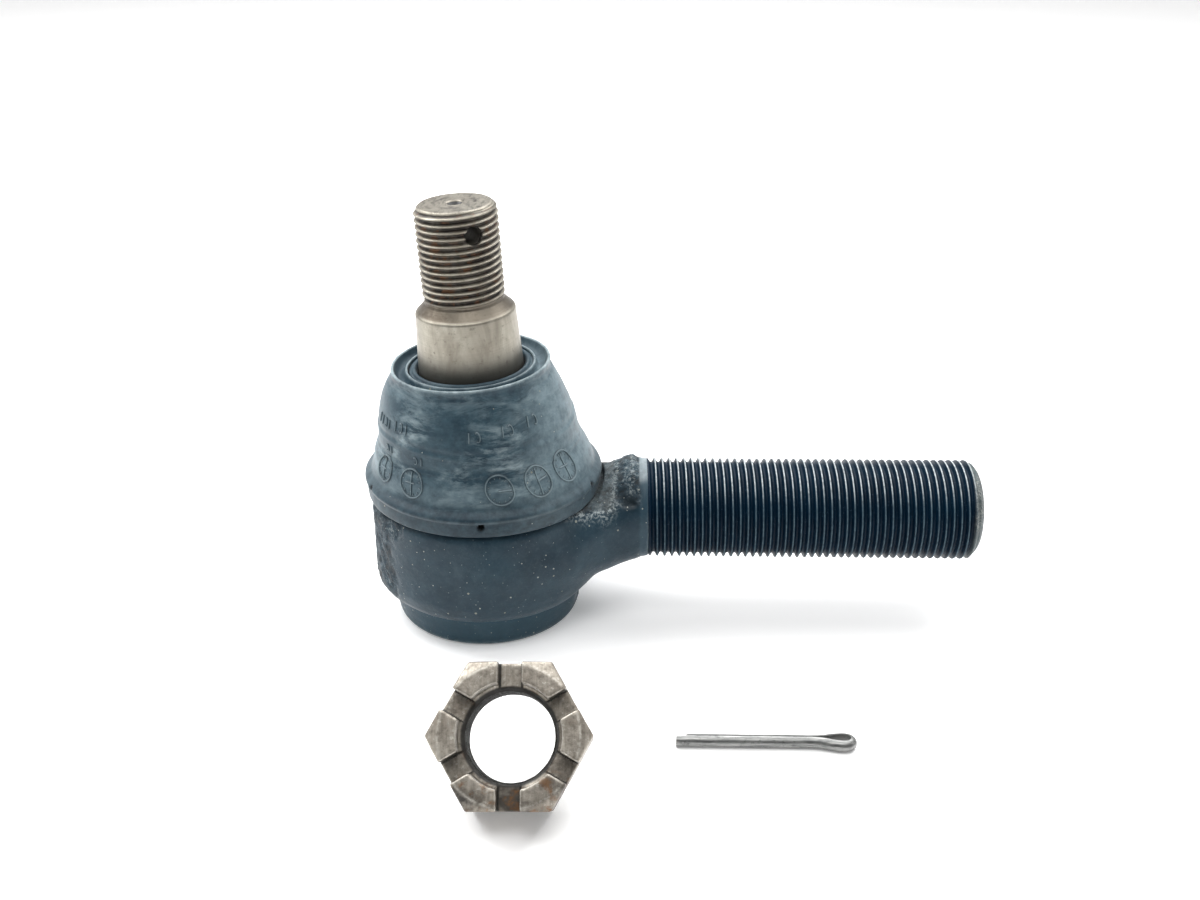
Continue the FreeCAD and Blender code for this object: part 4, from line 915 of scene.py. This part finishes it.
def build_boot():
    seg = 720
    prof = np.vstack([catmull(OUTER + LIPS, 0.42), np.array(INNER[1:])])
    th = 2 * np.pi * np.arange(seg) / seg
    r = prof[:, 0][:, None] + 0 * th[None, :]
    z = prof[:, 1][:, None] + 0 * th[None, :]
    n_out = len(prof) - len(INNER) + 1
    T = th[None, :] + 0 * r
    is_out = (np.arange(len(prof)) < n_out)[:, None] & (z < 76)
    # small waviness of the moulded skin
    base = np.c_[(r * np.cos(T)).ravel(), (r * np.sin(T)).ravel(), z.ravel()]
    wav = (fbm(base, 9.0, 2, 3) - 0.5).reshape(r.shape)
    body_zone = smooth((z - 47.0) / 3.0) * smooth((75.0 - z) / 2.0)
    r = r + np.where(is_out, wav * 0.35 * body_zone, 0)
    # shallow moulded steps: a fine parting line and a faint band under the rim
    r = r + np.where(is_out, 0.22 * np.exp(-((z - 54.4) / 0.3) ** 2), 0)
    fold = z - 59.6 - 0.55 * np.sin(2 * T + 0.8) - 0.25 * np.sin(5 * T)
    r = r + np.where(is_out, 0.16 * np.exp(-(fold / 0.45) ** 2) - 0.20 * np.exp(-((fold - 1.2) / 0.7) ** 2), 0)
    r = r - np.where(is_out, 0.22 * np.exp(-((z - 73.2 - 0.35 * np.sin(3 * T) - 0.2 * np.sin(7 * T + 1)) / 0.35) ** 2), 0)
    # bead: a crease above the flange and one along its lower edge
    r = r - np.where(is_out, 0.10 * np.exp(-((z - 45.9) / 0.4) ** 2), 0)
    r = r + np.where(is_out, (fbm(base, 5.0, 2, 8) - 0.5).reshape(r.shape) * 0.22 * smooth((44.5 - z) / 1.0), 0)
    hole = np.zeros(r.shape)
    for az, hz in HOLES:
        d = np.hypot(((T - math.radians(az) + np.pi) % (2 * np.pi) - np.pi) * 33.4, z - hz)
        k = smooth((1.0 - d) / 0.3) * is_out
        r = r - 2.0 * k
        hole = np.maximum(hole, smooth((1.05 - d) / 0.25) * is_out)
    pts_ = boot_place(T, r, z)
    rows = len(prof)
    F = grid_faces(rows, seg, True, True)
    # edges of the mouth: outer ring's rolled edge, inner lip's crest, and the bead's lower edge, masked for a painted
    # highlight
    pr_, pz_ = prof[:, 0], prof[:, 1]
    rim = np.exp(-((pz_ - 76.15) / 0.40) ** 2) * (pr_ > 21.2) + 0.7 * np.exp(-((pz_ - 75.45) / 0.22) ** 2) * (pr_ < 18.0) * (pr_ > 17.3)
    rim = rim + 0.55 * np.exp(-((pz_ - 43.45) / 0.30) ** 2) * (pr_ > 33.3)
    rim = (rim[:, None] + 0 * T) * (0.55 + 0.45 * smooth((vnoise(base, 6.0, 61) - 0.3) / 0.3)).reshape(r.shape)
    return pts_, F, hole.ravel(), T.ravel(), z.ravel(), np.clip(rim.ravel(), 0, 1)


pts, faces, hole, T, Zz, rim_e = build_boot()
boot = make("dust_boot_skin", pts, faces, MAT_BOOT)
attr(boot, "rest", pts * MM, "FLOAT_VECTOR")
attr(boot, "bead_hole_shade", hole)
attr(boot, "rim_edge_highlight", rim_e)
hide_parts("dust_boot")


# raised moulding marks on the boot: plain dials with a bar and ticks
def ribbon(path, width, height):
    """A low rounded rib along a path of (angle*radius, height) points, as (u, v, lift) rows."""
    path = np.array(path, float)
    n_ = len(path)
    closed = np.linalg.norm(path[0] - path[-1]) < 1e-6
    t = np.gradient(path, axis=0)
    if closed:
        t[0] = t[-1] = path[1] - path[-2]
    t /= np.linalg.norm(t, axis=1)[:, None] + 1e-12
    nrm = np.c_[-t[:, 1], t[:, 0]]
    rows = []
    for k, (a_, l_) in enumerate(((-1.0, -0.25), (-0.62, 0.62), (0.0, 1.0), (0.62, 0.62), (1.0, -0.25))):
        rows.append(np.c_[path + nrm * a_ * width / 2, np.full(n_, l_ * height + 0.10)])
    rows = np.stack(rows, 1)
    return rows, closed


def marks_mesh(name, items, mat):
    allp, allf, rib = [], [], []
    for az, zc_, path, width, height in items:
        rows, closed = ribbon(path, width, height)
        n_, m_ = rows.shape[:2]
        u, v, l = rows[..., 0].ravel(), rows[..., 1].ravel(), rows[..., 2].ravel()
        rib.append(np.tile([0.0, 0.35, 1.0, 0.35, 0.0], n_))
        zz = zc_ + v
        rr0 = boot_radius_outer(np.full_like(zz, zc_))
        th_ = math.radians(az) + u / rr0
        rr = boot_radius_outer(zz)
        base = np.c_[rr * np.cos(th_), rr * np.sin(th_), zz]
        wav = (fbm(base, 9.0, 2, 3) - 0.5) * 0.35 * smooth((zz - 47.0) / 3.0) * smooth((75.0 - zz) / 2.0)
        fold = zz - 59.6 - 0.55 * np.sin(2 * th_ + 0.8) - 0.25 * np.sin(5 * th_)
        rr = rr + wav + 0.22 * np.exp(-((zz - 54.4) / 0.3) ** 2) + 0.16 * np.exp(-(fold / 0.45) ** 2) - 0.20 * np.exp(-((fold - 1.2) / 0.7) ** 2) + l
        q = boot_place(th_, rr, zz)
        b0 = sum(len(a_) for a_ in allp)
        allp.append(q)
        for i in range(n_ - 1):
            for j in range(m_ - 1):
                allf.append((b0 + i * m_ + j, b0 + i * m_ + j + 1, b0 + (i + 1) * m_ + j + 1, b0 + (i + 1) * m_ + j))
    P_ = np.vstack(allp)
    o = make(name, P_, allf, mat)
    attr(o, "rest", P_ * MM, "FLOAT_VECTOR")
    attr(o, "bead_hole_shade", np.zeros(len(P_)))
    rb_ = np.concatenate(rib)
    attr(o, "rib_top_highlight", rb_)
    attr(o, "rib_edge_shade", 1.0 - np.clip(rb_ * 2.2, 0, 1))
    return o


def circle_path(r, n_=48):
    t = np.linspace(0, 2 * np.pi, n_ + 1)
    return np.c_[r * np.cos(t), r * np.sin(t)]


def seg_path(a_, b_, n_=6):
    return np.array([np.array(a_) + (np.array(b_) - np.array(a_)) * t for t in np.linspace(0, 1, n_)])


items = []
DIALS = [(-145.5, 51.4, 3.5, "full"), (-123.0, 51.0, 3.7, "full"), (-75.0, 51.0, 3.7, "half"), (-53.5, 51.2, 3.8, "tee"), (-33.5, 52.0, 3.8, "full"),
         (35.0, 51.2, 3.7, "full"), (62.0, 51.2, 3.7, "tee"), (150.0, 51.2, 3.6, "full")]
for az, zc_, r_, kind in DIALS:
    items.append((az, zc_, circle_path(r_), 0.52, 0.38))
    if kind == "full":
        items.append((az, zc_, seg_path((0, -r_ * 0.86), (0, r_ * 0.86)), 0.5, 0.28))
        items.append((az, zc_, seg_path((-r_ * 0.55, 0.1), (r_ * 0.3, 0.1)), 0.4, 0.24))
    elif kind == "half":
        items.append((az, zc_, seg_path((-r_ * 0.1, -0.2), (r_ * 0.88, -0.2)), 0.5, 0.28))
    else:
        items.append((az, zc_, seg_path((0, -r_ * 0.86), (0, r_ * 0.86)), 0.5, 0.28))
        items.append((az, zc_, seg_path((0, 0.2), (r_ * 0.7, 0.6)), 0.45, 0.26))
    for k in range(12):
        t = 2 * math.pi * k / 12 + 0.26
        items.append((az, zc_, seg_path((r_ * 0.72 * math.cos(t), r_ * 0.72 * math.sin(t)), (r_ * 0.84 * math.cos(t), r_ * 0.84 * math.sin(t)), 3), 0.36, 0.2))
# plain raised bars and arcs in the upper band and over two dials, in place of moulded text
def bars(az, zc_, n_, step, tall, slant=0.12, kinds="bcb"):
    r0 = float(boot_radius_outer(np.array([zc_]))[0])
    for k in range(n_):
        a_ = az + math.degrees((k - (n_ - 1) / 2) * step / r0)
        kind = kinds[k % len(kinds)]
        if kind == "b":
            items.append((a_, zc_, seg_path((-slant, -tall / 2), (slant, tall / 2)), 0.5, 0.30))
        else:
            t = np.linspace(-2.3, 2.3, 16)
            items.append((a_, zc_, np.c_[0.62 * np.cos(t), tall * 0.46 * np.sin(t)], 0.45, 0.28))


bars(-151.0, 64.6, 4, 2.1, 2.6, 0.1, "bbcb")
bars(-132.0, 65.2, 3, 2.1, 2.7, 0.1, "bcb")
bars(-84.0, 64.8, 2, 2.3, 2.7, 0.15, "bc")
bars(-64.0, 65.3, 2, 2.2, 2.7, 0.2, "bc")
bars(-47.0, 66.0, 2, 2.2, 2.7, 0.25, "bc")
bars(25.0, 65.6, 2, 2.2, 2.7, 0.15, "bc")
bars(48.0, 65.4, 2, 2.2, 2.7, 0.15, "bc")
bars(72.0, 65.2, 2, 2.2, 2.7, 0.15, "bc")
bars(-143.5, 57.4, 2, 2.0, 2.1, 0.1, "cb")
bars(-119.0, 57.2, 2, 2.0, 2.1, 0.1, "cb")
marks = marks_mesh("boot_marks", items, MAT_BOOT)

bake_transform(boot)
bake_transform(marks)

# inner sealing lip round the stud
WIPER = [(14.98, 44.0), (15.25, 44.55), (15.7, 44.75), (16.15, 44.6), (16.35, 44.2), (16.5, 43.95), (16.75, 44.05), (16.98, 43.9), (17.08, 43.4), (17.1, 42.2), (17.05, 41.2), (16.4, 40.45), (14.98, 40.45), (14.96, 42.2)]
seg = 256
prof = catmull(WIPER, 0.3)
th = 2 * np.pi * np.arange(seg) / seg
rw = prof[:, 0][:, None] + 0 * th[None, :]
zw = prof[:, 1][:, None] + ZB + 0 * th[None, :]
Tw = th[None, :] + 0 * rw
pw = lean_pts(np.c_[(rw * np.cos(Tw)).ravel(), (rw * np.sin(Tw)).ravel(), zw.ravel()])
wiper = make("boot_inner_lip", pw, grid_faces(len(prof), seg, True, True), MAT_WIPER)
attr(wiper, "rest", pw * MM, "FLOAT_VECTOR")
attr(wiper, "bead_hole_shade", np.zeros(len(pw)))
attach(wiper, "boot_head")
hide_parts("boot_wiper")


# ---------------------------------------------------------------- castle nut
def build_nut():
    h = 0.24
    lo = np.array([-21.0, -18.2, -1.0])
    hi = np.array([21.0, 18.2, 20.2])
    n = np.ceil((hi - lo) / h).astype(int) + 1
    X = (lo[0] + h * np.arange(n[0]))[:, None, None]
    Y = (lo[1] + h * np.arange(n[1]))[None, :, None]
    Z = (lo[2] + h * np.arange(n[2]))[None, None, :]
    R = np.sqrt(X * X + Y * Y)
    A = np.arctan2(Y, X)
    hexd = -9e9
    for k in range(6):
        a = math.radians(30 + 60 * k)
        hexd = np.maximum(hexd, X * math.cos(a) + Y * math.sin(a) - 16.67)
    t = 19.05
    d = np.maximum(hexd, np.maximum(-Z, Z - t))
    # chamfers: a cone at each face
    d = smax(d, ((R - 16.35) + (Z - t) * 1.75) / math.hypot(1, 1.75), 0.35)
    d = smax(d, ((R - 16.6) - Z * 1.9) / math.hypot(1, 1.9), 0.35)
    # six slots across the flats, from the top face
    for k in range(3):
        a = math.radians(30 + 60 * k)
        w = np.abs(-X * math.sin(a) + Y * math.cos(a)) - 2.68
        slot_ = np.maximum(w, (t - 6.0) - Z)
        d = smax(d, -slot_, 0.3)
    # threaded bore with a wider mouth through the slotted part
    v = (Z / 1.8143 - A / (2 * np.pi)) % 1.0
    tri = np.abs(v - 0.5) * 2.0
    rb = 10.2 + 0.92 * np.clip(tri * 1.25 - 0.12, 0, 1)
    bore = rb - R
    mouth = np.maximum(11.9 - R, -9.0)
    zt = np.clip((Z - (t - 6.3)) / 1.2, 0, 1)
    rbore = np.maximum(rb, 10.2 + 1.9 * zt)
    rbore = np.maximum(rbore, 10.2 + np.clip((1.3 - Z) / 1.0, 0, 1) * 1.2)
    d = smax(d, (rbore - R) * 0.9, 0.25)
    d = blur(d, 1)
    P_ = np.stack(np.broadcast_arrays(X, Y, Z), -1).reshape(-1, 3)
    f_ = d.reshape(-1).copy()
    near = np.abs(f_) < 1.0
    f_[near] += (fbm(P_[near], 2.2, 3, 21) - 0.5) * 0.13
    return surface_of(f_.reshape(d.shape), lo, h)


pn, fn = build_nut()
Rn = np.hypot(pn[:, 0], pn[:, 1])
rec = smooth((11.7 - Rn) / 0.6) * 0.95
slotz = np.zeros(len(pn))
edge = np.zeros(len(pn))
for k in range(6):
    a = math.radians(30 + 60 * k)
    w = np.abs(-pn[:, 0] * math.sin(a) + pn[:, 1] * math.cos(a))
    along = pn[:, 0] * math.cos(a) + pn[:, 1] * math.sin(a)
    inside = (w < 2.75) & (along > 0) & (pn[:, 2] > 12.8)
    side = inside & (w > 2.3) & (pn[:, 2] < 18.4)
    slotz = np.maximum(slotz, np.where(side, 0.85, 0))
    edge = np.maximum(edge, np.where((np.abs(w - 2.72) < 0.3) & (along > 0) & (pn[:, 2] > 18.7), 0.7, 0))
edge = np.maximum(edge, 0.8 * np.exp(-((Rn - 16.2) / 0.28) ** 2) * (pn[:, 2] > 18.4))
edge = np.maximum(edge, 0.7 * np.exp(-((Rn - 12.1) / 0.22) ** 2) * (pn[:, 2] > 18.6))
rec = np.maximum(rec, slotz)
tip, turn_n = math.radians(41.0), math.radians(1.06)
place = Matrix.Rotation(turn_n, 3, "Z") @ Matrix.Rotation(math.radians(90.0) - tip, 3, "X")
rot = np.array([list(r_) for r_ in place])
mid = np.array([14.11, -90.0, 18.6304])
world = (pn - np.array([0, 0, 19.05 / 2])) @ rot.T + mid
world[:, 1] = np.clip(world[:, 1], -107.715, -72.12)
world[:, 2] = np.clip(world[:, 2], 0.0, 37.06)
nut = make("castle_nut_steel", world, fn, MAT_NUT)
attr(nut, "local", pn * MM, "FLOAT_VECTOR")
low = smooth((-pn[:, 1] - 4.0) / 9.0) * 0.9 * smooth((pn[:, 2] - 3.0) / 6.0)
attr(nut, "grime", np.clip(low + 0.9 * smooth((np.hypot(pn[:, 0], pn[:, 1]) - 16.6) / 1.0) * (pn[:, 1] < -8), 0, 1))
attr(nut, "recess", rec)
attr(nut, "edge_wear", edge)
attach(nut, "nut")
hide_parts("castle_nut")


# ---------------------------------------------------------------- cotter pin
def build_pin():
    pr, ll, ls = 1.6, 37.5, 34.9
    x0 = ll - 1.5
    g = 0.04
    eye = [(x0 - 2.0, -g), (x0 + 0.8, -0.34), (x0 + 3.2, -0.98), (x0 + 5.4, -1.42), (x0 + 6.9, -1.30), (x0 + 7.75, -0.62), (x0 + 7.8, 0.22), (x0 + 7.0, 0.86), (x0 + 5.4, 1.0), (x0 + 3.2, 0.72), (x0 + 0.8, 0.22), (x0 - 2.0, g)]
    run1 = [(t, -g) for t in np.linspace(0, x0 - 2.3, 24)]
    run2 = [(t, g) for t in np.linspace(x0 - 2.3, ll - ls, 22)]
    path = np.vstack([np.array(run1), catmull(eye, 0.35), np.array(run2)])
    t = np.gradient(path, axis=0)
    t /= np.linalg.norm(t, axis=1)[:, None]
    outward = np.c_[t[:, 1], -t[:, 0]]
    m_ = 15
    ang = np.linspace(-np.pi / 2, np.pi / 2, m_)
    sec = [(pr * math.cos(a_), pr * math.sin(a_)) for a_ in ang]
    sec = sec + [(0.0, pr * 0.7), (0.0, 0.0), (0.0, -pr * 0.7)]
    pts_ = []
    for i in range(len(path)):
        for (o_, z_) in sec:
            pts_.append((path[i, 0] + outward[i, 0] * o_, path[i, 1] + outward[i, 1] * o_, z_))
    m_ = len(sec)
    F_ = []
    for i in range(len(path) - 1):
        for j in range(m_):
            k = (j + 1) % m_
            F_.append((i * m_ + j, i * m_ + k, (i + 1) * m_ + k, (i + 1) * m_ + j))
    F_.append(tuple(reversed(range(m_))))
    F_.append(tuple((len(path) - 1) * m_ + j for j in range(m_)))
    pts_ = np.array(pts_)
    pts_ += 0.035 * (np.c_[fbm(pts_, 1.6, 2, 31), fbm(pts_, 1.6, 2, 35), fbm(pts_, 1.6, 2, 39)] - 0.5)
    return pts_ + np.array([53.5, -69.0, pr]), F_


pp, pf = build_pin()
pp[:, 2] = np.clip(pp[:, 2], 0.0, 3.2)
pin = make("cotter_pin_wire", pp, pf, MAT_PIN)
pin.data.set_sharp_from_angle(angle=math.radians(50))
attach(pin, "pin")
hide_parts("cotter_pin")

# ---------------------------------------------------------------- stage, light, camera
m = Mat("floor_white")
v = m.obj()
n1 = m.noise(v, 6.0, 3.0, 0.5)
m.put(m.b, "Emission Color", (1.0, 1.0, 1.0, 1.0))
m.put(m.b, "Emission Strength", 0.20)
floor_mat = m.set(color=m.mix(n1, (0.90, 0.90, 0.90), (0.93, 0.93, 0.93)), rough=0.8)
me = bpy.data.meshes.new("floor")
L = 6.0
# floor that curves up behind into a backdrop
prof = [(-3.0, 0.0), (1.6, 0.0), (2.1, 0.08), (2.5, 0.33), (2.75, 0.75), (2.8, 1.3), (2.8, 4.0)]
vs, fs = [], []
for i, (y, z) in enumerate(prof):
    vs += [(-L, y, z - 0.00002), (L, y, z - 0.00002)]
for i in range(len(prof) - 1):
    fs.append((2 * i, 2 * i + 1, 2 * i + 3, 2 * i + 2))
me.from_pydata(vs, [], fs)
me.polygons.foreach_set("use_smooth", [True] * len(fs))
floor = bpy.data.objects.new("floor", me)
bpy.context.scene.collection.objects.link(floor)
me.materials.append(floor_mat)

world_ = bpy.data.worlds.new("studio")
bpy.context.scene.world = world_
world_.use_nodes = True
wt = world_.node_tree
bg = wt.nodes.get("Background")
bg.inputs[0].default_value = (1.0, 1.0, 1.0, 1)
# white all round, darker on the side the viewer stands on
tc = wt.nodes.new("ShaderNodeTexCoord")
dot = wt.nodes.new("ShaderNodeVectorMath")
dot.operation = "DOT_PRODUCT"
side_dir = Vector((0.10, -0.90, 0.42)).normalized()
dot.inputs[1].default_value = side_dir
wt.links.new(tc.outputs["Generated"], dot.inputs[0])
mr = wt.nodes.new("ShaderNodeMapRange")
mr.interpolation_type = "SMOOTHSTEP"
for k, val in (("From Min", 0.25), ("From Max", 0.92), ("To Min", 1.0), ("To Max", 0.10)):
    mr.inputs[k].default_value = val
wt.links.new(dot.outputs["Value"], mr.inputs["Value"])
wt.links.new(mr.outputs[0], bg.inputs[1])


def area(name, loc, target, size, power, color=(1, 1, 1)):
    l = bpy.data.lights.new(name, "AREA")
    l.shape = "RECTANGLE"
    l.size, l.size_y = size
    l.energy = power
    l.color = color
    o = bpy.data.objects.new(name, l)
    bpy.context.scene.collection.objects.link(o)
    o.location = loc
    o.rotation_euler = (Vector(target) - Vector(loc)).to_track_quat("-Z", "Y").to_euler()
    return o


area("key_top_left", (-0.50, 0.25, 0.75), (0.0, 0.0, 0.06), (0.6, 0.6), 9.0)
area("top_back", (0.25, 0.45, 0.80), (0.04, 0.0, 0.05), (0.9, 0.6), 9.0)
area("front_high", (0.10, -0.40, 1.00), (0.04, -0.04, 0.03), (0.7, 0.4), 5.0)

cam = bpy.data.cameras.new("camera")
cam_o = bpy.data.objects.new("camera", cam)
bpy.context.scene.collection.objects.link(cam_o)
f_px, cx, cy, cz, pan, tilt, roll = 1317.19, 39.286, -334.643, 213.923, 0.018473, 0.458081, -0.000147
fwd = Vector((-math.sin(pan) * math.cos(tilt), math.cos(pan) * math.cos(tilt), -math.sin(tilt)))
right = Vector((math.cos(pan), math.sin(pan), 0))
up = right.cross(fwd)
r2 = right * math.cos(roll) + up * math.sin(roll)
u2 = -right * math.sin(roll) + up * math.cos(roll)
M = Matrix((r2, u2, -fwd)).transposed().to_4x4()
M.translation = Vector((cx, cy, cz)) * MM
cam_o.matrix_world = M
cam.sensor_fit = "HORIZONTAL"
cam.sensor_width = 36.0
cam.lens = f_px / 1200.0 * 36.0
cam.clip_start = 0.01
cam.clip_end = 50.0
bpy.context.scene.camera = cam_o
bpy.context.scene.view_settings.view_transform = "Standard"
bpy.context.scene.view_settings.exposure = 0.0
